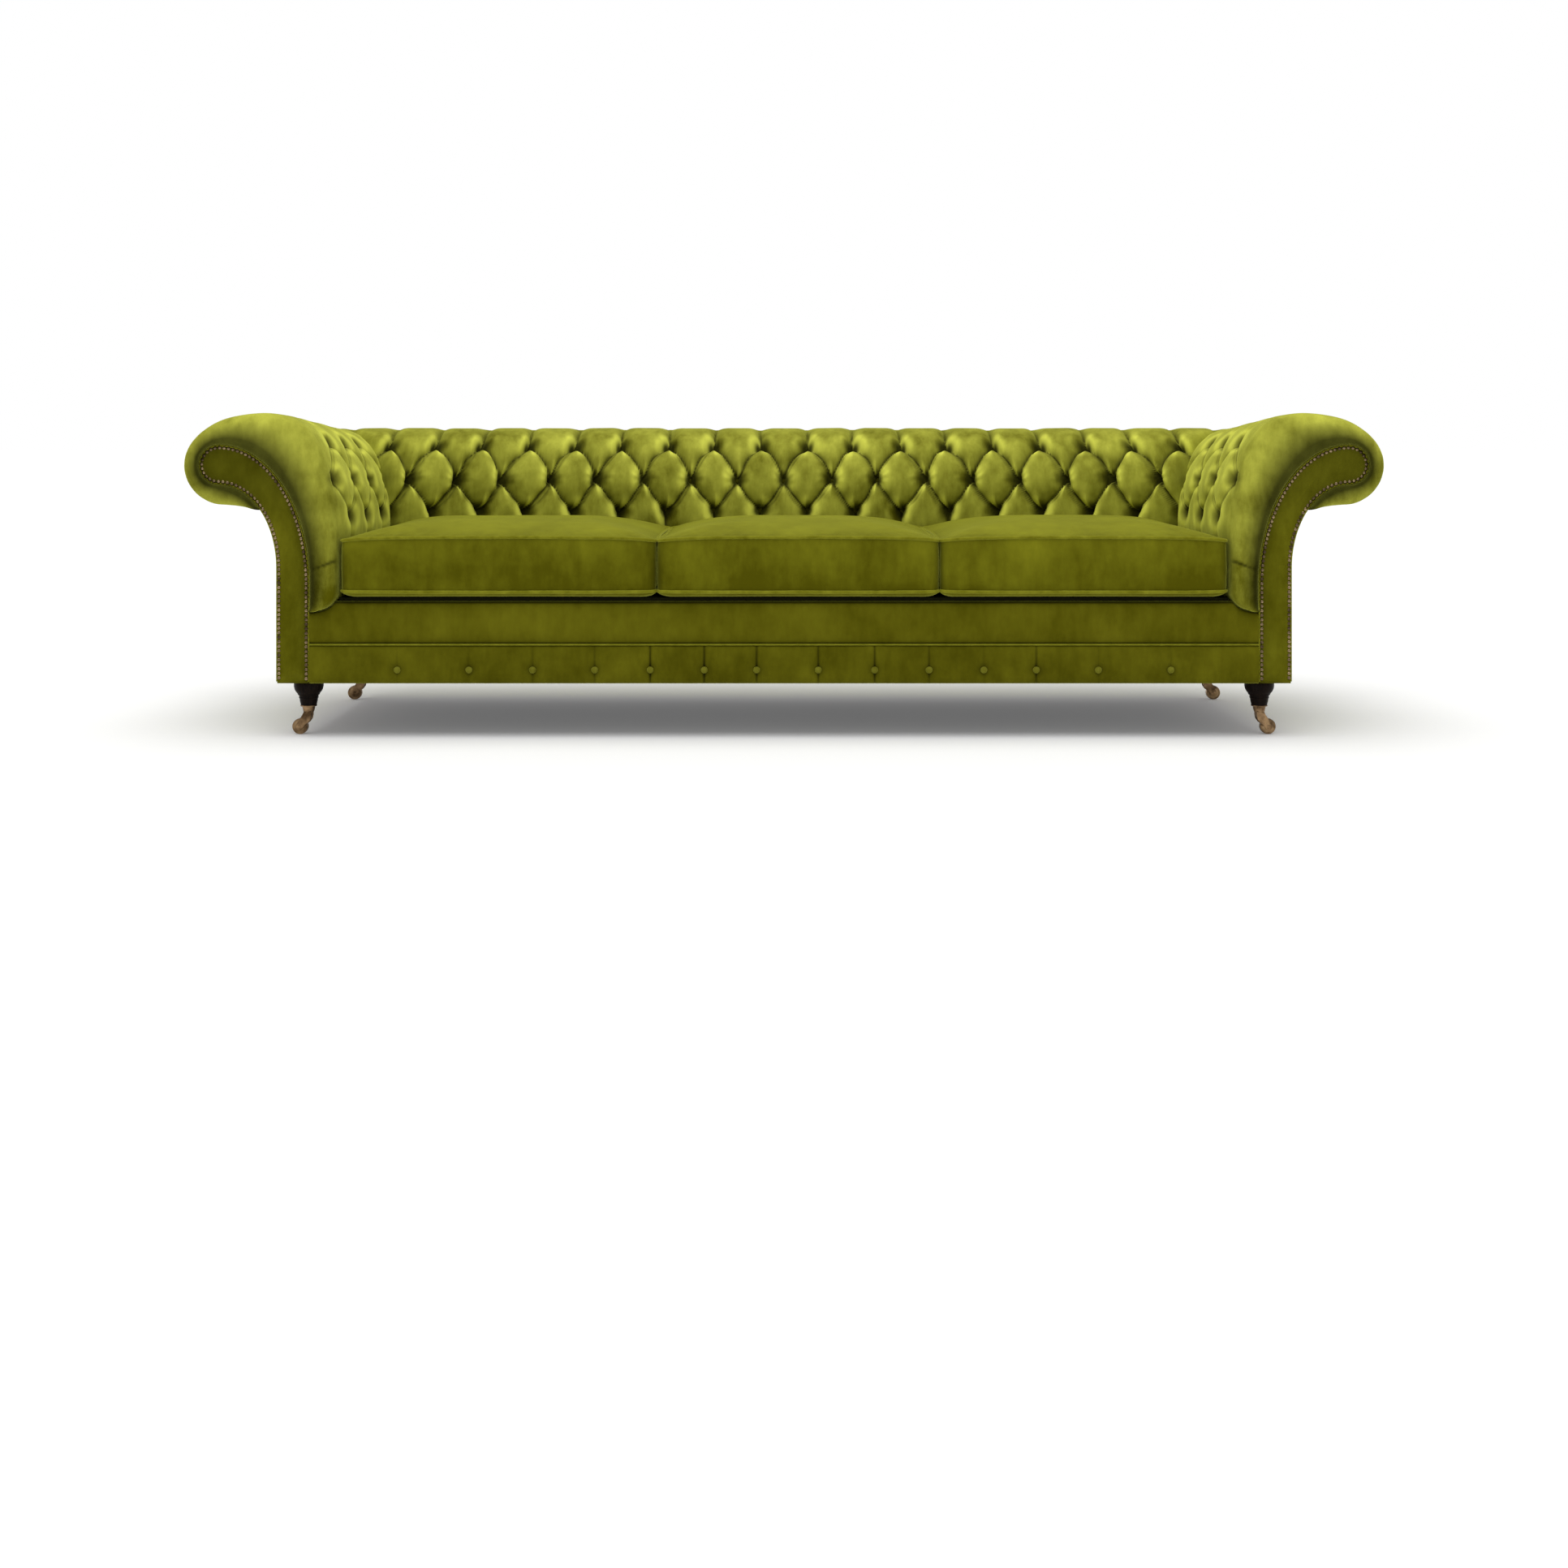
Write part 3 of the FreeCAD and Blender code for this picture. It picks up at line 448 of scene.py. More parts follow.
def back_grid():
    """The back's padding between its two mitred corners, closed over the boards behind it."""
    points, outward, v, low, top = pad_section(BACK_CREST, PAD_SHARES)
    shares = np.linspace(-1.0, 1.0, 561)
    reach, height = points[:, :1], points[:, 1:]
    x = shares * (ARM_FACE + reach)
    v = np.broadcast_to(v[:, None], x.shape)
    depth, near, crease_shade = fold_depth(x, v, low, top, BACK_PITCH, 0.0, *BACK_FOLDS)
    out = proud(depth, v, low, top) + 0.0016 * flow(x, v, 14.0, 1.0)
    out = mitred(out, ARM_FACE + reach - np.abs(x), v, top)
    reach_out = reach + out * outward[:, :1]
    height_out = height + out * outward[:, 1:]
    skin = np.stack([shares * (ARM_FACE + reach_out), BACK_FACE + reach_out * BACK_SCALE, height_out], -1)
    board = board_edge(PAD_SHARES)
    behind = np.stack([on_back(board, across) for across in (1.0, 0.0, -1.0)], 1)
    # the flank of each pit that faces the middle of the sofa gets painted light, and the other painted shade,
    # as if lit from the middle
    lean = np.gradient(depth, axis=1) / np.gradient(x, axis=1) * -np.tanh(x / 0.12)
    lean = np.tanh(lean / 0.35) * bell(near - 0.022, 0.024)
    lean = np.where(lean > 0.0, lean, 0.40 * lean)
    # painted shade in the folds and pits, eased on the flank lit from the middle
    fold = painted_fold_shade(depth, near, crease_shade) * (1.0 - 0.75 * np.clip(lean, 0.0, 1.0) * grow(near, 0.010, 0.012))
    # painted light on what faces up and on the lit flanks, and painted shade over the top of the roll
    lie_and_painted_light = 0.09 + 0.62 * lean - 0.22 * grow(height, 0.685, 0.03) + painted_light_and_pile_tone(outward[:, 1:], near, x, v, 4.0, 0.20)
    none = np.zeros((len(board), 3))
    return (np.concatenate([skin, behind], 1), np.concatenate([fold, none], 1), np.concatenate([lie_and_painted_light, none], 1))


# its open pile colour is very bright: the colour of the painted highlights on the padding
padding_velvet = velvet_finish("padding_velvet", (0.80, 0.82, 0.110), (0.112, 0.107, 0.0012),
                               lie_and_painted_light=0.215, patchiness=0.72)
grid, fold, lie_and_painted_light = back_grid()
back_padding = skin_mesh("back_padding", grid)
clothe(back_padding, padding_velvet, fold, lie_and_painted_light)
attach(back_padding, "sofa_frame")
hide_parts("inside_back")


# Inside arms: the same velvet and stuffing, carried over the scroll and brought round the front
# in one smooth fold that is nailed off against the facing. Their buttons are set wider apart.

ARM_PITCH = 0.190                   # from button to button, and from the front to the first
ARM_FIRST = 0.060
ARM_FOLDS = (0.0100, 0.0260, 1.9)
PAD_FRONT = -0.475                  # front of the padding, and where it is nailed to the board
CAP_BACK = -0.444
FRONT_BEND = 0.130                  # how long and how deep the padding rounds off at the front
FRONT_DROP = 0.050
FOOT_TOP, FOOT_HIGH, FOOT_REACH = 0.352, 0.047, 0.062   # the rounded foot of the front fold


def arm_crest(y):
    return BACK_CREST + (FRONT_CREST - BACK_CREST) * grow(y, BACK_FACE, PAD_FRONT - BACK_FACE)


def arm_column(share):
    """One section of the right arm's padding between its front and the mitred corner, with the painted shade of
    its folds and its painted light and shade.
    """
    y = CAP_BACK + share * (BACK_FACE + 0.1 - CAP_BACK)
    points, outward, v, low, top = pad_section(float(arm_crest(y)), PAD_SHARES)
    reach, height = points[:, 0], points[:, 1]
    y_row = CAP_BACK + share * (BACK_FACE + reach * BACK_SCALE - CAP_BACK)
    from_front = y_row - PAD_FRONT
    depth, near, crease_shade = fold_depth(from_front, v, low, top, ARM_PITCH, ARM_FIRST, *ARM_FOLDS)
    before = grow(from_front, ARM_FIRST, -0.030)
    crease = 0.006 * np.exp(-np.abs(v) / 0.006) * grow(from_front, 0.0, ARM_FIRST)
    depth = np.where(from_front < ARM_FIRST, depth * (1 - before) ** 2 + crease * before, depth)
    crease_shade = crease_shade * (1 - before) ** 2
    bend = grow(from_front, FRONT_BEND, -FRONT_BEND)
    inner = (1.0 - 0.9 * grow(v, 0.02, 0.15)) * grow(height, 0.43, 0.10)
    out = proud(depth, v, low, top) - FRONT_DROP * inner * (1.0 - np.sqrt(1.0 - bend ** 2 * 0.98))
    out = out + 0.0014 * flow(from_front, v, 16.0, 2.0)
    out = mitred(out, BACK_FACE + reach * BACK_SCALE - y_row, v, top)
    foot = grow(height, FOOT_TOP, -FOOT_HIGH) * grow(from_front, 0.16, -0.10)
    reach_out = reach + out * outward[:, 0] + FOOT_REACH * (1.0 - np.sqrt(1.0 - foot ** 2))
    y_out = CAP_BACK + share * (BACK_FACE + reach_out * BACK_SCALE - CAP_BACK)
    # painted shade on the faces that turn outward and low down, and painted highlights on the flanks round the
    # buttons behind the front
    shade = 0.26 * np.clip(outward[:, 0], 0.0, 1.0) + 0.24 * grow(height, 0.50, -0.14)
    flank_highlight_strength = 0.50 * grow(from_front, 0.045, 0.03)
    lie_and_painted_light = 0.16 - shade + painted_light_and_pile_tone(outward[:, 1], near, from_front, v, 7.0, flank_highlight_strength)
    skin = np.stack([ARM_FACE + reach_out, y_out, height + out * outward[:, 1]], -1)
    return skin, painted_fold_shade(depth, near, crease_shade), lie_and_painted_light


def arm_cap(share, front, board):
    """One ring of the rounded front, from the first section at 0 to the board's edge at 1, with painted shade
    that deepens toward the nails and along the tuck crease.
    """
    bulge = max(0.0, 1.0 - abs(2 * share - 1) ** 2.3) ** (1 / 2.3)
    across = front[:, 0] + (ARM_FACE + board[:, 0] - front[:, 0]) * share
    up = front[:, 2] + (board[:, 1] - front[:, 2]) * share
    along = PAD_SHARES * 40.0
    pucker = 0.0014 * np.sin(along * 3.1) * np.sin(along * 1.7 + 2 * share) * (1 - share)
    tuck = bell(up - 0.428 + 0.37 * (across - ARM_FACE), 0.0040)
    y = CAP_BACK - (CAP_BACK - PAD_FRONT) * bulge + (0.0045 * tuck - pucker) * bulge
    return np.stack([across, y, up], -1), np.maximum(0.94 * grow(share, 0.26, 0.52), 0.8 * tuck)


def arm_grid():
    """The right arm's padding, from the board's edge round the front and back to the mitred corner."""
    board = board_edge(PAD_SHARES)
    stations = np.concatenate([np.linspace(0.0, 0.10, 26)[:-1], np.linspace(0.10, 1.0, 170)])
    columns, folds, lies = zip(*[arm_column(share) for share in stations])
    cap, cap_shades = zip(*[arm_cap(share, columns[0], board) for share in np.linspace(1.0, 0.0, 19)[:-1]])
    # the ring at the board's edge is all in painted shade, and the front rings take the first section's painted
    # light
    return (np.stack([on_back(board, 1.0), *cap, *columns], 1),
            np.stack([np.ones(len(board)), *cap_shades, *folds], 1),
            np.stack([lies[0]] * (1 + len(cap)) + list(lies), 1))


grid, fold, lie_and_painted_light = arm_grid()
for side, name in ((1.0, "right"), (-1.0, "left")):
    arm_padding = skin_mesh(name + "_arm_padding", grid * np.array([side, 1.0, 1.0]))
    clothe(arm_padding, padding_velvet, fold, lie_and_painted_light)
    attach(arm_padding, "sofa_frame")
    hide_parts(name + "_inside_arm")


# Pit buttons: small domes covered in the same velvet, drawn down on twine through the stuffing.
# One is placed at each pit by a node tree, turned to face out of the padding.

BACK_PIT = 0.030                    # how deep the buttons lie in the back and in the arms
ARM_PIT = 0.021
PIT_BUTTON = (0.0085, 0.005)        # radius and height of a button's dome


def repeat_tree(name, segments, rings, finish):
    """A node tree that sets a small dome at each point of a mesh, turned to the point's direction."""
    tree = bpy.data.node_groups.new(name, "GeometryNodeTree")
    for socket, way, kind in (("Points", "INPUT", "Geometry"), ("Radius", "INPUT", "Float"),
                              ("Height", "INPUT", "Float"), ("Pieces", "OUTPUT", "Geometry")):
        tree.interface.new_socket(socket, in_out=way, socket_type="NodeSocket" + kind)
    entry = add_node(tree, "NodeGroupInput").outputs
    ball = add_node(tree, "GeometryNodeMeshUVSphere", {"Segments": segments, "Rings": rings, "Radius": 1.0})
    size = add_node(tree, "ShaderNodeCombineXYZ", {"X": entry["Radius"], "Y": entry["Radius"],
                                                   "Z": entry["Height"]})
    facing = add_node(tree, "GeometryNodeInputNamedAttribute", {"Name": "facing"}, data_type="FLOAT_VECTOR")
    turn = add_node(tree, "FunctionNodeAlignRotationToVector", {"Vector": facing.outputs["Attribute"]},
                    axis="Z")
    place = add_node(tree, "GeometryNodeInstanceOnPoints", {
        "Points": entry["Points"], "Instance": ball.outputs["Mesh"],
        "Rotation": turn.outputs["Rotation"], "Scale": size.outputs["Vector"]})
    real = add_node(tree, "GeometryNodeRealizeInstances", {"Geometry": place.outputs["Instances"]})
    smooth = add_node(tree, "GeometryNodeSetShadeSmooth", {"Geometry": real.outputs["Geometry"]})
    dressed = add_node(tree, "GeometryNodeSetMaterial", {"Geometry": smooth.outputs["Geometry"],
                                                         "Material": finish})
    add_node(tree, "NodeGroupOutput", {"Pieces": dressed.outputs["Geometry"]})
    return tree


def repeated(name, tree, places, facings, radius, height):
    """The plain mesh that a repeat tree makes on a list of places."""
    mesh = bpy.data.meshes.new(name + "_points")
    mesh.from_pydata([tuple(place) for place in places], [], [])
    attribute = mesh.attributes.new("facing", "FLOAT_VECTOR", "POINT")
    attribute.data.foreach_set("vector", np.asarray(facings, dtype=np.float32).ravel())
    holder = new_object(name + "_points", mesh)
    modifier = holder.modifiers.new("repeat", "NODES")
    modifier.node_group = tree
    sizes = {"Radius": radius, "Height": height}
    for item in tree.interface.items_tree:
        if item.name in sizes:
            modifier[item.identifier] = sizes[item.name]
    state = bpy.context.evaluated_depsgraph_get()
    result = bpy.data.meshes.new_from_object(holder.evaluated_get(state))
    bpy.data.objects.remove(holder)
    result.name = name
    return new_object(name, result)


def pit(crest, height, depth):
    """Reach and height of a button that lies deep in the padding at the height of its row, and its outward."""
    line = pad_line(crest)
    i = int(np.argmax(line[:, 1] >= height))
    run = line[i + 3] - line[i - 3]
    run /= np.hypot(*run)
    outward = np.array([-run[1], run[0]])
    return line[i] - outward * depth, outward


def column_heights(i, crest):
    """Rows that have a button in a column: the middle one in even columns, the outer two in odd ones."""
    low, middle, top = row_heights(crest)
    return (middle,) if i % 2 == 0 else (low, top)


def back_pits():
    places, facings = [], []
    for i in range(-17, 18):
        for row in column_heights(i, BACK_CREST):
            (reach, z), outward = pit(BACK_CREST, row, BACK_PIT)
            places.append((i * BACK_PITCH / 2, BACK_FACE + reach * BACK_SCALE, z))
            facings.append((0.0, outward[0], outward[1]))
    return places, facings


def arm_pits(side):
    places, facings = [], []
    for i in range(6):
        y = PAD_FRONT + ARM_FIRST + i * ARM_PITCH / 2
        crest = float(arm_crest(y))
        for row in column_heights(i, crest):
            (reach, z), outward = pit(crest, row, ARM_PIT)
            places.append((side * (ARM_FACE + reach), y, z))
            facings.append((side * outward[0], 0.0, outward[1]))
    return places, facings


# the buttons' velvet is far darker than the padding's: painted shade of the pits they lie in
button_velvet = velvet_finish("button_velvet", (0.14, 0.14, 0.01), (0.04, 0.038, 0.001), patch=60.0)
button_tree = repeat_tree("covered_buttons", 14, 8, button_velvet)
for name, node, (places, facings) in (("back_pit_buttons", "back_buttons", back_pits()),
                                      ("right_arm_pit_buttons", "right_arm_buttons", arm_pits(1.0)),
                                      ("left_arm_pit_buttons", "left_arm_buttons", arm_pits(-1.0))):
    buttons = repeated(name, button_tree, places, facings, *PIT_BUTTON)
    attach(buttons, "sofa_frame")
    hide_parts(node)


# Outside covers: plain velvet over thin wadding, drawn tight from under the roll to the bottom edge.
# They are blind tacked under the roll, and slip stitched at the mitred rear corners.

COVER_THICK = 0.0075
HEM = 0.1315
COVER_FRONT = -0.4275


def inward_of(line):
    """Directions square to a line of points, to the inside of the form that it goes round."""
    run = np.gradient(line, axis=0)
    run /= np.hypot(run[:, 0], run[:, 1])[:, None]
    return np.stack([run[:, 1], -run[:, 0]], 1)


def cover_piece(name, node, place, count):
    """A thin padded panel from the tuck under the roll down to its hem, swollen a little at its middle."""
    flare = quarter_line(BOARD_CHIN, BOARD_WAIST, False, 25)[12:]
    outer = np.concatenate([flare, np.linspace(BOARD_WAIST, (BOARD_WAIST[0], HEM), 40)[1:]])
    inner = outer + inward_of(outer) * COVER_THICK
    inner[-1] = outer[-1] + (-COVER_THICK, 0.0)
    edge = np.sin(np.linspace(0.0, math.pi, len(outer))) ** 0.6
    grid = []
    for share in np.linspace(0.0, 1.0, count):
        swell = 0.0020 * math.sin(math.pi * share) ** 0.5
        taut = outer.copy()
        taut[:, 0] += edge * (swell + 0.0010 * flow(np.full(len(outer), share * 8.0), outer[:, 1], 6.0, 3.0))
        grid.append(place(np.concatenate([taut, inner[::-1]]), share))
    piece = skin_mesh(name, np.array(grid))
    clothe(piece, cover_velvet)
    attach(piece, "sofa_frame")
    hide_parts(node)


def on_arm(side):
    def place(line, share):
        y = COVER_FRONT + share * (BACK_FACE + line[:, 0] * BACK_SCALE - COVER_FRONT)
        return np.stack([side * (ARM_FACE + line[:, 0]), y, line[:, 1]], -1)
    return place


cover_velvet = velvet_finish("cover_velvet", (0.34, 0.34, 0.018), (0.110, 0.104, 0.0012), patch=5.0)
cover_piece("outside_back_cover", "outside_back", lambda line, share: on_back(line, 2 * share - 1), 90)
cover_piece("outside_right_cover", "right_outside_arm", on_arm(1.0), 40)
cover_piece("outside_left_cover", "left_outside_arm", on_arm(-1.0), 40)


# Facings: scroll shaped panels of velvet over thin wadding that close the front of each arm.
# Their edge is piped, and they are fixed with a close row of antique brass nails all round.

FACING_STEPS = ((0.0006, -0.4285), (0.0006, -0.4460), (0.0016, -0.4485), (0.0040, -0.4505),
                (0.0100, -0.4520), (0.0200, -0.4528), (0.0300, -0.4531))    # inset and y from back to front
FACING_WELT = (0.0012, -0.4492)     # inset and y of the piping's line and of the row of nails
NAIL_ROW = (0.0062, -0.4512)
NAIL_GAP = 0.0108
NAIL_HEAD = (0.0047, 0.0030)
CORD_RADIUS = 0.0022


def facing_edge(inset):
    """The facing's outline set in by a distance, and how many of its points lie beside the padding."""
    inner, nose, chin, flare = scroll_edge((70, 20, 20, 50))
    upright = np.linspace((BOARD_RISE[0], HEM), BOARD_RISE, 50)[:-1]
    beside = np.concatenate([upright, inner, nose[1:], chin[1:]])
    line = np.concatenate([beside, flare[1:], np.linspace(BOARD_WAIST, (BOARD_WAIST[0], HEM), 50)[1:]])
    line = line + inward_of(line) * inset
    line[:, 1] = np.maximum(line[:, 1], HEM + inset)
    return line, len(beside)


def on_facing(line, side, y):
    return np.stack([side * (ARM_FACE + line[:, 0]), np.full(len(line), y), line[:, 1]], -1)


def facing_piece(name, node, side):
    rings, shades = [], []
    for inset, y in FACING_STEPS:
        line, beside = facing_edge(inset)
        rings.append(on_facing(line, side, y))
        # painted shade along the edge beside the padding, and under the top of the scroll
        under_pad = 0.8 * math.exp(-inset / 0.011) * (np.arange(len(line)) < beside)
        shades.append(np.maximum(under_pad, 0.30 * grow(line[:, 1], 0.50, 0.10)))
    piece = skin_mesh(name, np.array(rings))
    clothe(piece, facing_velvet, np.array(shades))
    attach(piece, "sofa_frame")
    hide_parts(node)


def piping(name, line, radius, body, endless=False):
    """A round cord in velvet, sewn along a line of points."""
    run = np.roll(line, -1, 0) - np.roll(line, 1, 0) if endless else np.gradient(line, axis=0)
    run /= np.linalg.norm(run, axis=1)[:, None]
    guide = np.array([0.0, 1.0, 0.0]) if np.abs(run[:, 1]).max() < 0.9 else np.array([0.0, 0.0, 1.0])
    first = np.cross(run, guide)
    first /= np.linalg.norm(first, axis=1)[:, None]
    second = np.cross(run, first)
    turns = np.linspace(0.0, 2 * math.pi, 8, endpoint=False)
    rings = [line + radius * (math.cos(t) * first + math.sin(t) * second) for t in turns]
    piece = skin_mesh(name, np.stack(rings, 1), endless)
    clothe(piece, piping_velvet)
    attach(piece, body)


brass_wear, entry = new_group("brass_wear", {"Patch size": "Float"}, {"Wear": "Float"})
add_node(brass_wear, "NodeGroupOutput", {"Wear": cloud(brass_wear, (1.0, 1.0, 1.0), entry["Patch size"], 3.0)})


def brass_finish(name, bright, dull, roughness):
    """Brass dulled in patches, brighter and smoother where it is rubbed."""
    finish, tree, shader = new_finish(name)
    wear = add_node(tree, "ShaderNodeGroup", {"Patch size": 45.0}, node_tree=brass_wear).outputs["Wear"]
    feed(tree, shader, {"Base Color": ramp(tree, wear, (0.35, dull), (0.62, bright)),
                        "Roughness": ramp(tree, wear, (0.3, (roughness + 0.22,) * 3), (0.7, (roughness,) * 3)),
                        "Metallic": 1.0})
    bump(tree, shader, wear, 0.05, 0.0002)
    return finish


def nail_row(name, side):
    """Nails at even gaps round the facing, from one foot of it to the other."""
    line = facing_edge(NAIL_ROW[0])[0]
    line = line[line[:, 1] > 0.140]
    along = np.concatenate([[0.0], np.cumsum(np.hypot(*np.diff(line, axis=0).T))])
    count = int(along[-1] / NAIL_GAP)
    at = np.linspace(0.003, along[-1] - 0.003, count)
    spots = np.stack([np.interp(at, along, line[:, 0]), np.interp(at, along, line[:, 1])], 1)
    nails = repeated(name, nail_tree, on_facing(spots, side, NAIL_ROW[1]),
                     np.tile((0.0, -1.0, 0.0), (count, 1)), *NAIL_HEAD)
    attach(nails, "sofa_frame")


facing_velvet = velvet_finish("facing_velvet", (0.26, 0.255, 0.014), (0.095, 0.090, 0.0012), patch=7.0)
piping_velvet = velvet_finish("piping_velvet", (0.38, 0.38, 0.030), (0.16, 0.155, 0.005), patch=40.0, lie_and_painted_light=0.05)
nail_brass = brass_finish("nail_brass", (0.34, 0.25, 0.14), (0.085, 0.058, 0.030), 0.30)
nail_tree = repeat_tree("upholstery_nails", 10, 6, nail_brass)
welt = facing_edge(FACING_WELT[0])[0]
welt = welt[welt[:, 1] > 0.1345]
SIDES = ((1.0, "right"), (-1.0, "left"))
for side, name in SIDES:
    facing_piece(name + "_scroll_facing", name + "_facing", side)
for side, name in SIDES:
    cord = on_facing(welt, side, FACING_WELT[1])
    piping(name + "_facing_piping", cord, CORD_RADIUS, "sofa_frame")
for side, name in SIDES:
    nail_row(name + "_facing_nails", side)


# Borders: two bands of velvet over wadding along the front rail. The upper one is plain and
# softly rolled; the lower one stands a little proud and has a row of covered buttons.

BAND_END = 1.1415
BAND_BACK = -0.4283
UPPER_FOOT, UPPER_TOP = 0.2262, 0.3290      # heights of the upper and of the lower band
LOWER_TOP = 0.2250
UPPER_FACE, LOWER_FACE = -0.4400, -0.4430   # how far forward each band lies at its edges
BUTTON_Z, BUTTON_Y = 0.1650, -0.4522
BORDER_BUTTON = (0.0082, 0.0048)            # radius and height of a button's dome
BUTTON_PLEATS = ((-0.9295, 0.15), (-0.7572, 0.15), (-0.6042, 0.35), (-0.4551, 0.5), (-0.3215, 1.0),
                 (-0.1917, 1.0), (-0.0658, 0.9), (0.0823, 0.8), (0.2179, 0.9), (0.3486, 0.6),
                 (0.4802, 0.15), (0.6061, 0.7), (0.7552, 0.15), (0.9295, 0.15))   # x, strength of its pleat


def band_piece(name, x, section, finish, node):
    """A padded band: its front from foot to top at each place along it, with a plain back."""
    grid, folds = [], []
    for place in x:
        front, fold = section(place)
        loop = np.concatenate([front, [(BAND_BACK, front[-1][1]), (BAND_BACK, front[0][1])]])
        grid.append(np.stack([np.full(len(loop), place), loop[:, 0], loop[:, 1]], -1))
        folds.append(np.concatenate([fold, [0.0, 0.0]]))
    piece = skin_mesh(name, np.array(grid))
    clothe(piece, finish, np.array(folds))
    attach(piece, "sofa_frame")
    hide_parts(node)


def border_section(x):
    """Front of the upper border: a soft roll, tucked in at the foot and under the arms' padding, with painted
    shade at its foot and along its top edge.
    """
    shoulder = grow(abs(x), ARM_FACE + FOOT_REACH, -FOOT_REACH)
    top = min(UPPER_TOP, 0.351 - FOOT_HIGH * math.sqrt(1.0 - shoulder ** 2))
    share = np.linspace(0.0, 1.0, 30)
    z = UPPER_FOOT + (top - UPPER_FOOT) * share
    roll = np.clip(1.0 - np.abs(2 * share - 1) ** 3.2, 0.0, 1.0) ** 0.45
    y = UPPER_FACE - 0.0125 * roll - 0.0010 * flow(np.full(30, x), z * 2, 7.0, 5.0)
    return np.stack([y, z], -1), np.maximum(0.6 * (1 - roll) ** 1.5, grow(share, 0.93, 0.05))


def plinth_section(x):
    """Front of the lower border: flat, dimpled at each button, with a short pleat above some, and painted shade
    at its edges, in each dimple and along the pleats.
    """
    share = np.linspace(0.0, 1.0, 34)
    z = HEM + (LOWER_TOP - HEM) * share
    roll = np.clip(1.0 - np.abs(2 * share - 1) ** 5.0, 0.0, 1.0) ** 0.5
    y = LOWER_FACE - 0.0112 * roll - 0.0006 * flow(np.full(34, x), z * 2, 11.0, 6.0)
    fold = 0.5 * (1 - roll) ** 1.5
    for place, pleat in BUTTON_PLEATS:
        away = x - place
        if abs(away) > 0.06:
            continue
        ring = np.hypot(away, z - BUTTON_Z)
        groove = bell(away, 0.0026) * pleat * roll
        beside = pleat * bell(abs(away) - 0.012, 0.008) * roll
        y = y + 0.0042 * bell(ring, 0.016) * roll + 0.0030 * groove - 0.0020 * beside
        fold = fold + 0.45 * bell(ring, 0.015) + 0.75 * groove
    return np.stack([y, z], -1), np.clip(fold, 0.0, 1.0)


border_velvet = velvet_finish("border_velvet", (0.25, 0.24, 0.012), (0.095, 0.088, 0.0012), patch=5.0)
end_x = np.linspace(BAND_END, 1.075, 24)
border_x = np.concatenate([-end_x, np.linspace(-1.070, 1.070, 230), end_x[::-1]])
band_piece("upper_border", border_x, border_section, border_velvet, "front_border")

plinth_velvet = velvet_finish("plinth_velvet", (0.23, 0.22, 0.010), (0.082, 0.076, 0.0010), patch=8.0)
plinth_x = np.linspace(-BAND_END, BAND_END, 1100)
band_piece("lower_border", plinth_x, plinth_section, plinth_velvet, "plinth_band")

seam_line = np.linspace((-BAND_END, -0.4500, 0.2256), (BAND_END, -0.4500, 0.2256), 240)
piping("border_seam_piping", seam_line, 0.0020, "sofa_frame")

plinth_button_velvet = velvet_finish("plinth_button_velvet", (0.26, 0.26, 0.03), (0.12, 0.115, 0.006),
                                     patch=60.0, lie_and_painted_light=0.15)
plinth_button_tree = repeat_tree("border_buttons", 20, 10, plinth_button_velvet)
places = [(x, BUTTON_Y, BUTTON_Z) for x, pleat in BUTTON_PLEATS]
border_buttons = repeated("border_button_row", plinth_button_tree, places,
                          [(0.0, -1.0, 0.0)] * len(places), *BORDER_BUTTON)
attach(border_buttons, "sofa_frame")
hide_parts("plinth_buttons")


# Seat platform and dust cloth: lining stretched over the sprung seat, and black cloth tacked
# under the frame with holes for the legs.


def platform_piece():
    """The stuffed platform, flat on top and eased at its edges."""
    low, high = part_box("seat_deck")
    y = np.linspace(low[1], high[1], 36)
    rim = np.sin(np.linspace(0, math.pi, len(y))) ** 0.3
    grid = []
    for x in np.linspace(low[0], high[0], 120):
        top = high[2] - 0.004 * (1 - rim * min(1.0, (high[0] - abs(x)) / 0.03) ** 0.5)
        loop = np.concatenate([np.stack([y, top], -1), [[high[1], low[2]], [low[1], low[2]]]])
        grid.append(np.stack([np.full(len(loop), x), loop[:, 0], loop[:, 1]], -1))
    return skin_mesh("seat_platform", np.array(grid))


platform = platform_piece()
# the lining is near black, dark enough to stand for the shade in the gap under the cushions: partly its own
# colour, partly painted shade
lining_and_gap_shade = cloth_finish("platform_lining_and_gap_shade", (0.010, 0.010, 0.004), (0.026, 0.026, 0.010), 220.0)
platform.data.materials.append(lining_and_gap_shade)
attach(platform, "sofa_frame")
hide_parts("seat_deck")


def dust_piece():
    """The dust cloth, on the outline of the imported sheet."""
    mesh = nodes["dust_cover"].data.copy()
    mesh.name = "dust_cloth"
    shell = bmesh.new()
    shell.from_mesh(mesh)
    bmesh.ops.remove_doubles(shell, verts=shell.verts, dist=0.00002)
    shell.to_mesh(mesh)
    shell.free()
    mesh.materials.clear()
    return new_object("dust_cloth", mesh)


dust = dust_piece()
dust.data.materials.append(cloth_finish("dust_cloth", (0.006, 0.006, 0.006), (0.020, 0.020, 0.020), 260.0))
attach(dust, "sofa_frame")
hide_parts("dust_cover")
low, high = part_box("dust_cover")


# Seat cushions: foam in velvet cases with a crowned top, a boxing round the sides and piping
# along both welts. They lie loose on the platform and lift off.

CASE_FOOT, LOWER_WELT, UPPER_WELT = 0.3405, 0.3525, 0.4840
CASE_CROWN = 0.0360
WELT_INSET = 0.0012
CORNER_ROUND = 0.021
SIDE_DRAW = 0.0045                  # how far the sides draw in between the corners
END_DROOP = 0.0085                  # how far the welt sinks at the cushion's two ends


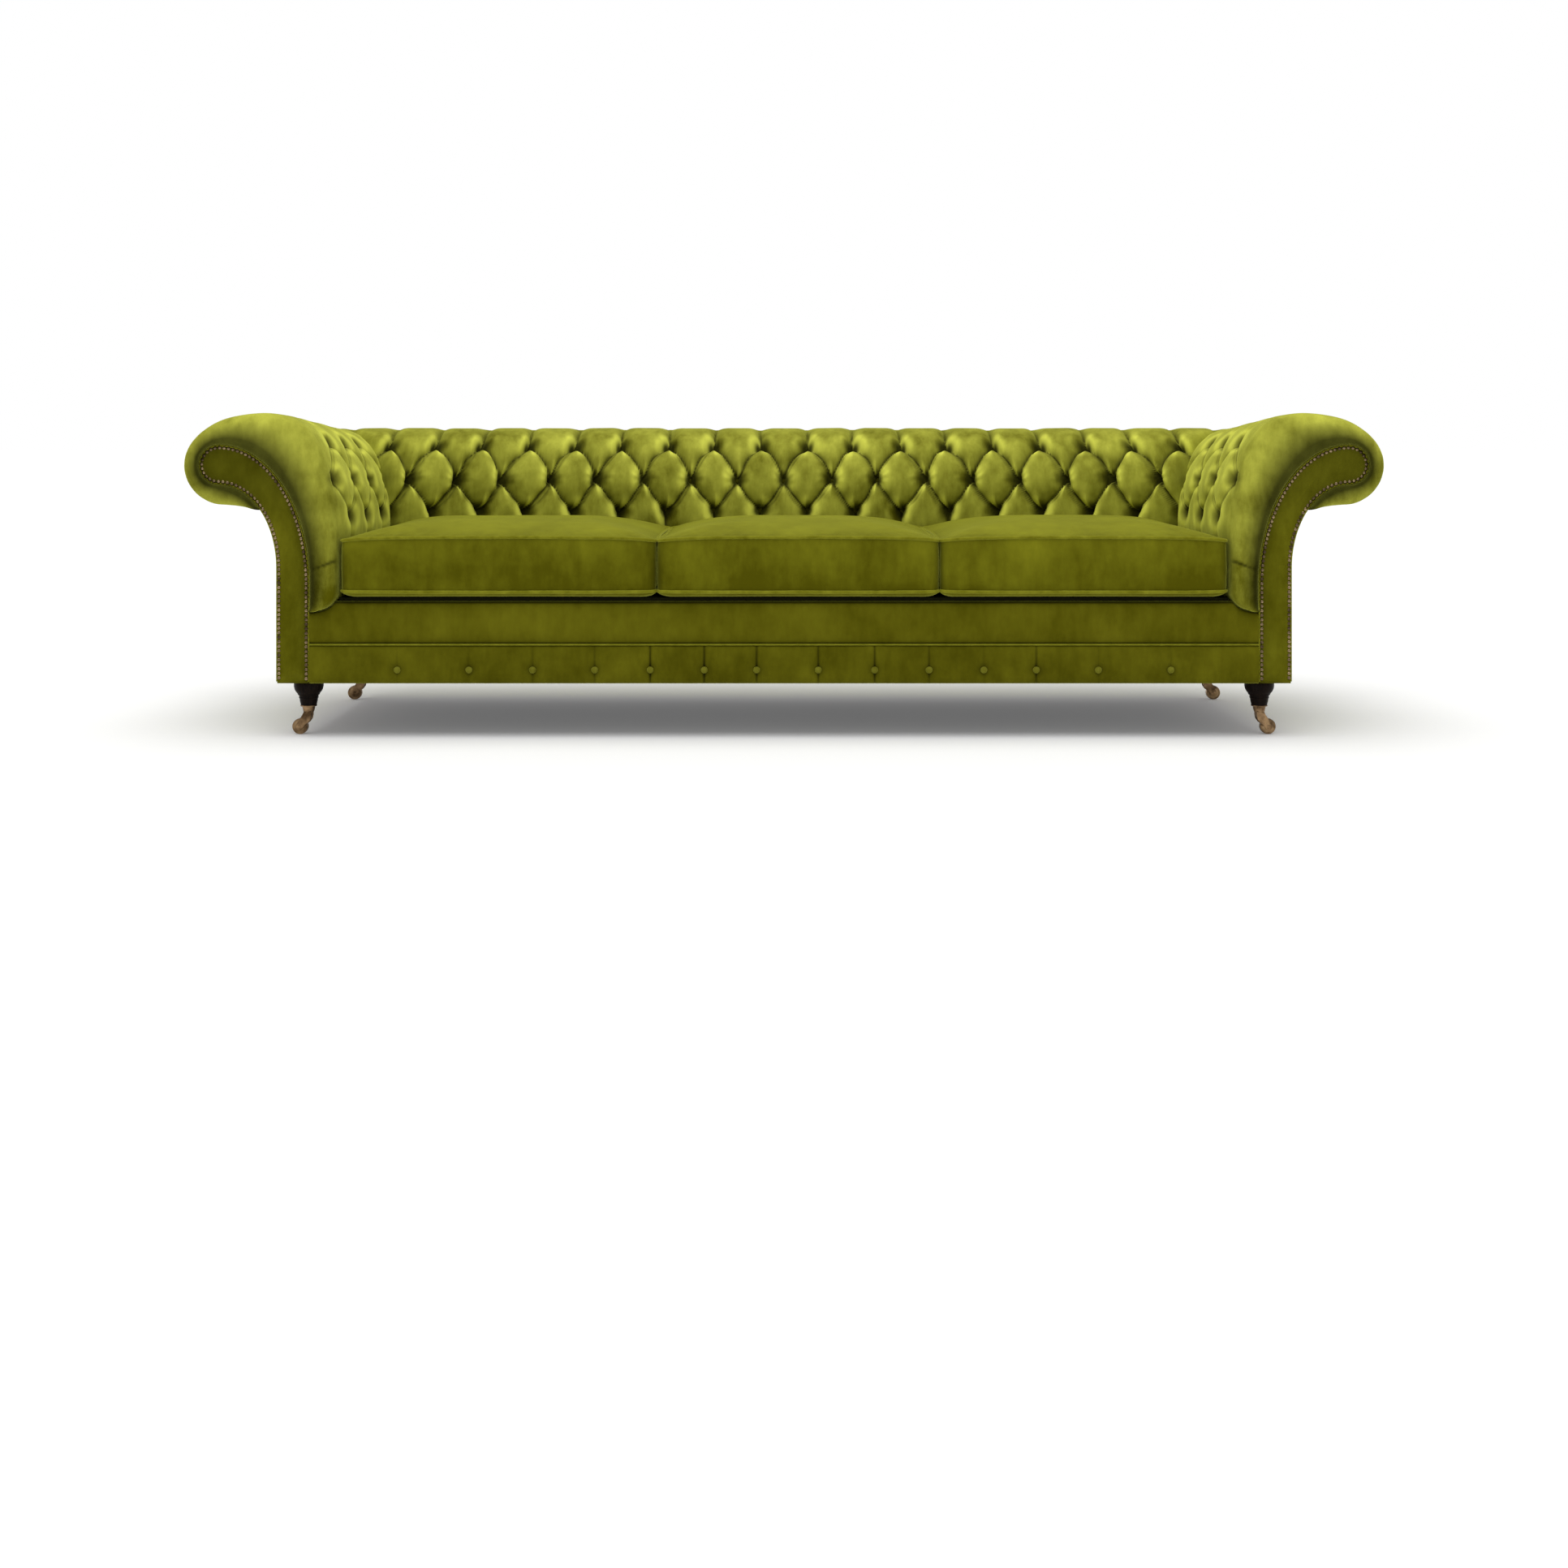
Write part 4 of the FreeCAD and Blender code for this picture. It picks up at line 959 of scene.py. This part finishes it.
def cushion_ring(low, high, inset):
    """A level outline with eased corners, the pull along each side, and directions to its middle."""
    x0, x1, y0, y1 = low[0] + inset, high[0] - inset, low[1] + inset, high[1] - inset
    corner = min(max(CORNER_ROUND, 0.25 * inset), 0.3 * (x1 - x0), 0.3 * (y1 - y0))
    centres = np.array([(x0 + corner, y0 + corner), (x1 - corner, y0 + corner),
                        (x1 - corner, y1 - corner), (x0 + corner, y1 - corner)])
    arc = np.linspace(0.0, math.pi / 2, 10)
    points, pull = [], []
    for number, count in enumerate((90, 80, 90, 80)):
        turn = math.pi + number * math.pi / 2
        bend = centres[number] + corner * np.stack([np.cos(turn + arc), np.sin(turn + arc)], 1)
        end = centres[(number + 1) % 4] + (bend[-1] - centres[number])
        share = np.linspace(0.0, 1.0, count, endpoint=False)[1:]
        points += [bend, bend[-1] + share[:, None] * (end - bend[-1])]
        pull += [np.zeros(len(arc)), np.sin(math.pi * share)]
    points, pull = np.concatenate(points), np.concatenate(pull)
    inward = np.array([(x0 + x1) / 2, (y0 + y1) / 2]) - points
    return points, pull, inward / np.linalg.norm(inward, axis=1)[:, None]


def from_ends(points, low, high):
    return np.minimum(points[:, 0] - low[0], high[0] - points[:, 0])


def case_levels():
    """Part, inset and height of each ring of the case, from under it to the middle of its crown."""
    levels = [("base", inset, CASE_FOOT) for inset in (0.26, 0.18, 0.10, 0.04, 0.02)]
    for share in np.linspace(0.0, 1.0, 6)[1:-1]:
        levels.append(("base", 0.018 * (1 - share) ** 1.6, CASE_FOOT + (LOWER_WELT - CASE_FOOT) * share))
    for share in np.linspace(0.0, 1.0, 22):
        swell = WELT_INSET * math.sin(math.pi * share) ** 0.7
        levels.append(("boxing", WELT_INSET - swell, LOWER_WELT + (UPPER_WELT - LOWER_WELT) * share))
    for share in np.linspace(0.0, 1.0, 42)[1:]:
        inset = 0.268 * share ** 1.25
        rise = CASE_CROWN * math.sin(math.pi / 2 * min(1.0, inset / 0.235)) ** 0.92
        levels.append(("crown", WELT_INSET + inset, UPPER_WELT + rise))
    return levels


def cushion_case(low, high, seed):
    """Rings of the cushion's case from under it, round its boxing and over its crown, with the painted shade
    and painted light of each ring.
    """
    rings, folds, lies = [], [], []
    for part, inset, height in case_levels():
        points, pull, inward = cushion_ring(low, high, inset)
        along = np.arange(len(points)) / len(points)
        end = from_ends(points, low, high)
        share = float(grow(height, LOWER_WELT, UPPER_WELT - LOWER_WELT))
        draw = SIDE_DRAW * pull
        z, fold, lie_and_painted_light = np.full(len(points), height), np.zeros(len(points)), np.zeros(len(points))
        if part == "boxing":
            edge = math.exp(-min(share, 1 - share) / 0.10)
            gather = np.sin(along * 610 + seed) * np.sin(along * 233 + 2 * seed)
            draw = draw + 0.0008 * gather * edge + 0.0010 * flow(points[:, 0], z * 3, 13.0, seed)
            # painted shade beside each welt and at the ends, next to the arms and the other cushions
            fold = np.maximum(0.30 * math.exp(-min(share, 1 - share) / 0.035), 0.55 * np.exp(-end / 0.011))
            # painted light up the boxing: darker toward the bottom and lighter toward the top
            lie_and_painted_light = lie_and_painted_light + 0.30 * share - 0.14
        if part == "crown":
            edge = math.exp(-inset / 0.035)
            gather = np.sin(along * 480 + 2 * seed) * np.sin(along * 171 + seed)
            z = z + 0.0008 * gather * edge + 0.0016 * flow(points[:, 0], points[:, 1], 9.0, seed) * (1 - edge)
            # painted shade along the welt, and painted light over the crown away from its edge
            fold = fold + 0.25 * math.exp(-inset / 0.004)
            lie_and_painted_light = lie_and_painted_light + 0.36 * (1 - math.exp(-inset / 0.03))
        points = points + inward * draw[:, None]
        z = z - END_DROOP * np.exp(-end / 0.055) * share
        rings.append(np.concatenate([points, z[:, None]], 1))
        folds.append(fold)
        lies.append(lie_and_painted_light)
    return np.array(rings), np.array(folds), np.array(lies)


def welt_line(low, high, height, seed, lift, spread):
    """The line of a welt round the cushion, which rises or sinks by lift at its two ends."""
    points, pull, inward = cushion_ring(low, high, 0.0)
    points = points + inward * (SIDE_DRAW * pull + WELT_INSET)[:, None]
    wander = 0.0008 * flow(points[:, 0], points[:, 1], 17.0, seed)
    z = height + wander + lift * np.exp(-from_ends(points, low, high) / spread)
    return np.concatenate([points, z[:, None]], 1)


cushion_velvet = velvet_finish("cushion_velvet", (0.30, 0.30, 0.014), (0.094, 0.088, 0.0010), patch=6.0)
foam = cloth_finish("wrapped_foam", (0.60, 0.55, 0.42), (0.75, 0.70, 0.56), 200.0)
for number, name in enumerate(("left", "centre", "right")):
    low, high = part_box("seat_cushion_" + name)
    body = "cushion_" + name
    rings, folds, lies = cushion_case(low, high, 1.3 + number)
    case = skin_mesh(name + "_cushion_case", rings)
    clothe(case, cushion_velvet, folds, lies)
    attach(case, body)
    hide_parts("seat_cushion_" + name)
    for welt, height, lift, spread in (("lower", LOWER_WELT, 0.0025, 0.05),
                                       ("upper", UPPER_WELT, -END_DROOP, 0.055)):
        line = welt_line(low, high, height, number + height, lift, spread)
        piping(name + "_" + welt + "_piping", line, 0.0040, body, endless=True)
    dress(["cushion_core_" + name], foam)


# Legs: turned hardwood, stained near black, with a bulb, a stepped collar and a waist.
# They are screwed into the corner blocks.

LEG_PLACES = {"front_left": (-1.160, -0.377), "front_right": (1.160, -0.377),
              "rear_left": (-1.160, 0.228), "rear_right": (1.160, 0.228)}
LEG_PROFILE = ((0.001, 0.1325), (0.0335, 0.1325), (0.0350, 0.1290), (0.0357, 0.1230), (0.0355, 0.1165),
               (0.0340, 0.1100), (0.0312, 0.1045), (0.0282, 0.1010), (0.0268, 0.0990), (0.0262, 0.0975),
               (0.0262, 0.0962), (0.0238, 0.0952), (0.0232, 0.0935), (0.0232, 0.0905), (0.0236, 0.0890),
               (0.0228, 0.0880), (0.0218, 0.0860), (0.0214, 0.0820), (0.0206, 0.0780), (0.0196, 0.0740),
               (0.0190, 0.0712), (0.001, 0.0711))      # radius and height


def lathe(name, profile, centre, axis, finish, turns=48):
    """A turned piece from pairs of radius and place along its axis, closed at both ends."""
    profile = np.array(profile)
    angle = np.linspace(0.0, 2 * math.pi, turns, endpoint=False)
    along = np.repeat(profile[:, 1:], turns, 1)
    first, second = profile[:, :1] * np.cos(angle), profile[:, :1] * np.sin(angle)
    grid = np.stack([first, second, along] if axis == "Z" else [first, along, second], -1)
    piece = skin_mesh(name, grid + np.array(centre))
    piece.data.materials.append(finish)
    return piece


def joined(name, pieces):
    """One piece from several meshes that are fixed together, sharp where it turns a corner."""
    vertices, faces, finishes, slots = [], [], [], []
    for piece in pieces:
        start = len(vertices)
        vertices += [tuple(vertex.co) for vertex in piece.data.vertices]
        finishes += [finish for finish in piece.data.materials if finish not in finishes]
        for face in piece.data.polygons:
            faces.append([start + i for i in face.vertices])
            slots.append(finishes.index(piece.data.materials[face.material_index]))
        bpy.data.objects.remove(piece)
    mesh = bpy.data.meshes.new(name)
    mesh.from_pydata(vertices, [], faces)
    for finish in finishes:
        mesh.materials.append(finish)
    mesh.polygons.foreach_set("material_index", slots)
    mesh.polygons.foreach_set("use_smooth", [True] * len(faces))
    whole = new_object(name, mesh)
    mesh.set_sharp_from_angle(angle=math.radians(38))
    return whole


leg_stain, tree, shader = new_finish("stained_leg")
grain = grain_of(tree, (14.0, 14.0, 1.5), 14.0)
stain = ramp(tree, grain, (0.3, (0.0040, 0.0022, 0.0014)), (0.75, (0.014, 0.0075, 0.0045)))
feed(tree, shader, {"Base Color": stain, "Roughness": 0.36, "Specular IOR Level": 0.05, "Coat Weight": 0.02, "Coat Roughness": 0.2})
bump(tree, shader, grain, 0.2, 0.0003)
legs = joined("turned_leg_set", [lathe("leg", LEG_PROFILE, (x, y, 0.0), "Z", leg_stain)
                                 for x, y in LEG_PLACES.values()])
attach(legs, "sofa_frame")
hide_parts("turned_legs")


# Castors: cast brass. A plate is screwed to the leg, a curved horn swivels under it on its pin,
# and a solid wheel runs between the horn's cheeks on a riveted axle.

PLATE_PROFILE = ((0.0005, 0.0709), (0.0195, 0.0709), (0.0200, 0.0704), (0.0200, 0.0690),
                 (0.0192, 0.0681), (0.0040, 0.0680), (0.0040, 0.0480), (0.0005, 0.0478))
NECK_RINGS = ((0.0, 0.0675, 0.0150, 0.0150), (0.0, 0.0640, 0.0152, 0.0152), (0.0, 0.0580, 0.0138, 0.0138),
              (0.0005, 0.0520, 0.0120, 0.0126), (0.0018, 0.0470, 0.0112, 0.0126),
              (0.0042, 0.0425, 0.0112, 0.0132), (0.0075, 0.0395, 0.0114, 0.0138))   # lean, height, two radii
WHEEL_REACH, WHEEL_HEIGHT = 0.020, 0.019
EYE_RADIUS = 0.0088
CHEEK_APART = 0.0116
AXLE_HALF = ((0.0003, -0.0144), (0.0034, -0.0142), (0.0046, -0.0136), (0.0030, -0.0134))
WHEEL_HALF = ((0.0032, -0.0088), (0.0080, -0.0090), (0.0092, -0.0082), (0.0150, -0.0082),
              (0.0166, -0.0090), (0.0180, -0.0086), (0.0188, -0.0070), (0.0190, -0.0040))


def mirrored(half):
    """A profile that is the same on both sides of its middle."""
    return list(half) + [(radius, -along) for radius, along in reversed(half)]


def horn_neck(x, y, side):
    """The horn's cast neck, which bends from under the plate out towards the wheel."""
    turns = np.linspace(0.0, 2 * math.pi, 32, endpoint=False)
    rows = []
    for lean, height, size, width in NECK_RINGS:
        tilt = max(0.0, 0.05 - height) * 40.0
        across = np.cos(turns) * size
        rows.append(np.stack([x + side * (lean + across * math.cos(tilt)), y + np.sin(turns) * width,
                              height + across * math.sin(tilt)], -1))
    neck = skin_mesh("neck", np.array(rows))
    neck.data.materials.append(cast_brass)
    return neck


def horn_cheek(x, y, side, offset):
    """One cheek of the horn: a flat arm with an eased edge that ends in the axle's eye."""
    outline = [(-0.0085, 0.0560), (-0.0092, 0.0470), (-0.0070, 0.0370), (-0.0010, 0.0285), (0.0070, 0.0225)]
    outline += [(WHEEL_REACH + EYE_RADIUS * math.cos(turn), WHEEL_HEIGHT + EYE_RADIUS * math.sin(turn))
                for turn in np.linspace(math.radians(-150), math.radians(60), 22)]
    outline += [(0.0215, 0.0330), (0.0185, 0.0400), (0.0140, 0.0460), (0.0100, 0.0540)]
    outline = np.array(outline)
    inward = outline.mean(0) - outline
    inward /= np.linalg.norm(inward, axis=1)[:, None]
    rows = []
    for depth, inset in ((-0.0019, 0.0010), (-0.0011, 0.0), (0.0011, 0.0), (0.0019, 0.0010)):
        line = outline + inward * inset
        rows.append(np.stack([x + side * line[:, 0], np.full(len(line), y + offset + depth), line[:, 1]], -1))
    cheek = skin_mesh("cheek", np.array(rows))
    cheek.data.materials.append(cast_brass)
    return cheek


cast_brass = brass_finish("cast_brass", (0.36, 0.23, 0.12), (0.10, 0.058, 0.028), 0.26)
wheel_brass = brass_finish("wheel_brass", (0.42, 0.28, 0.15), (0.13, 0.08, 0.04), 0.24)
plates = joined("castor_plate_set", [lathe("plate", PLATE_PROFILE, (x, y, 0.0), "Z", cast_brass, 40)
                                     for x, y in LEG_PLACES.values()])
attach(plates, "sofa_frame")
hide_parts("castor_plates")

for corner, (x, y) in LEG_PLACES.items():
    side = -1.0 if "left" in corner else 1.0
    centre = (x + side * WHEEL_REACH, y, WHEEL_HEIGHT)
    axle = lathe("axle", mirrored(AXLE_HALF), centre, "Y", cast_brass, 24)
    horn = joined(corner + "_brass_horn", [horn_neck(x, y, side), horn_cheek(x, y, side, CHEEK_APART),
                                           horn_cheek(x, y, side, -CHEEK_APART), axle])
    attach(horn, corner + "_swivel")
    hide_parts(corner + "_castor_horn")
    tread = lathe("tread", mirrored(WHEEL_HALF), centre, "Y", wheel_brass, 64)
    wheel = joined(corner + "_brass_wheel", [tread])
    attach(wheel, corner + "_roller")
    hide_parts(corner + "_castor_wheel")


# Studio: a plain pale floor that runs out of sight, soft light from above and before the sofa,
# and a level camera straight in front of it at the height of the arms.

WHITE = (1.0, 1.0, 1.0, 1.0)


def stage_floor():
    mesh = bpy.data.meshes.new("studio_floor")
    mesh.from_pydata([(-40, -30, 0), (40, -30, 0), (40, 60, 0), (-40, 60, 0)], [], [(0, 1, 2, 3)])
    finish, tree, shader = new_finish("studio_white")
    path = add_node(tree, "ShaderNodeLightPath").outputs
    seen = maths(tree, "MAXIMUM", path["Is Camera Ray"], path["Is Glossy Ray"])
    feed(tree, shader, {"Base Color": (0.92, 0.92, 0.92, 1.0), "Roughness": 1.0, "Specular IOR Level": 0.0,
                        "Emission Color": WHITE, "Emission Strength": maths(tree, "MULTIPLY", seen, 0.12)})
    mesh.materials.append(finish)
    new_object("studio_floor", mesh)


def studio_world():
    """Soft light from all round, and plain white where the camera looks past the floor."""
    world = bpy.data.worlds.new("studio_air")
    bpy.context.scene.world = world
    world.use_nodes = True
    tree = world.node_tree
    tree.nodes.clear()
    soft, plain = [add_node(tree, "ShaderNodeBackground", {"Color": WHITE, "Strength": strength}).outputs[0]
                   for strength in (0.42, 1.0)]
    path = add_node(tree, "ShaderNodeLightPath").outputs
    seen = maths(tree, "MAXIMUM", path["Is Camera Ray"], path["Is Transmission Ray"])
    mix = add_node(tree, "ShaderNodeMixShader", {"Fac": seen, 1: soft, 2: plain})
    add_node(tree, "ShaderNodeOutputWorld", {"Surface": mix.outputs[0]})


stage_floor()
studio_world()

key_above = bpy.data.lights.new("key_above", "SUN")
key_above.energy = 1.95
key_above.angle = math.radians(60.0)
lamp = new_object("key_above", key_above)
lamp.rotation_euler = Vector((0.05, 0.16, -1.0)).to_track_quat("-Z", "Y").to_euler()

camera = bpy.data.cameras.new("camera")
camera.lens = 44.7
camera.sensor_width = 36.0
camera.shift_y = -0.2272
camera.clip_end = 200.0
camera_holder = new_object("camera", camera)
camera_holder.location = (0.0, -5.13, 0.747)
camera_holder.rotation_euler = (math.pi / 2, 0.0, 0.0)
bpy.context.scene.camera = camera_holder
bpy.context.scene.view_settings.view_transform = "Standard"
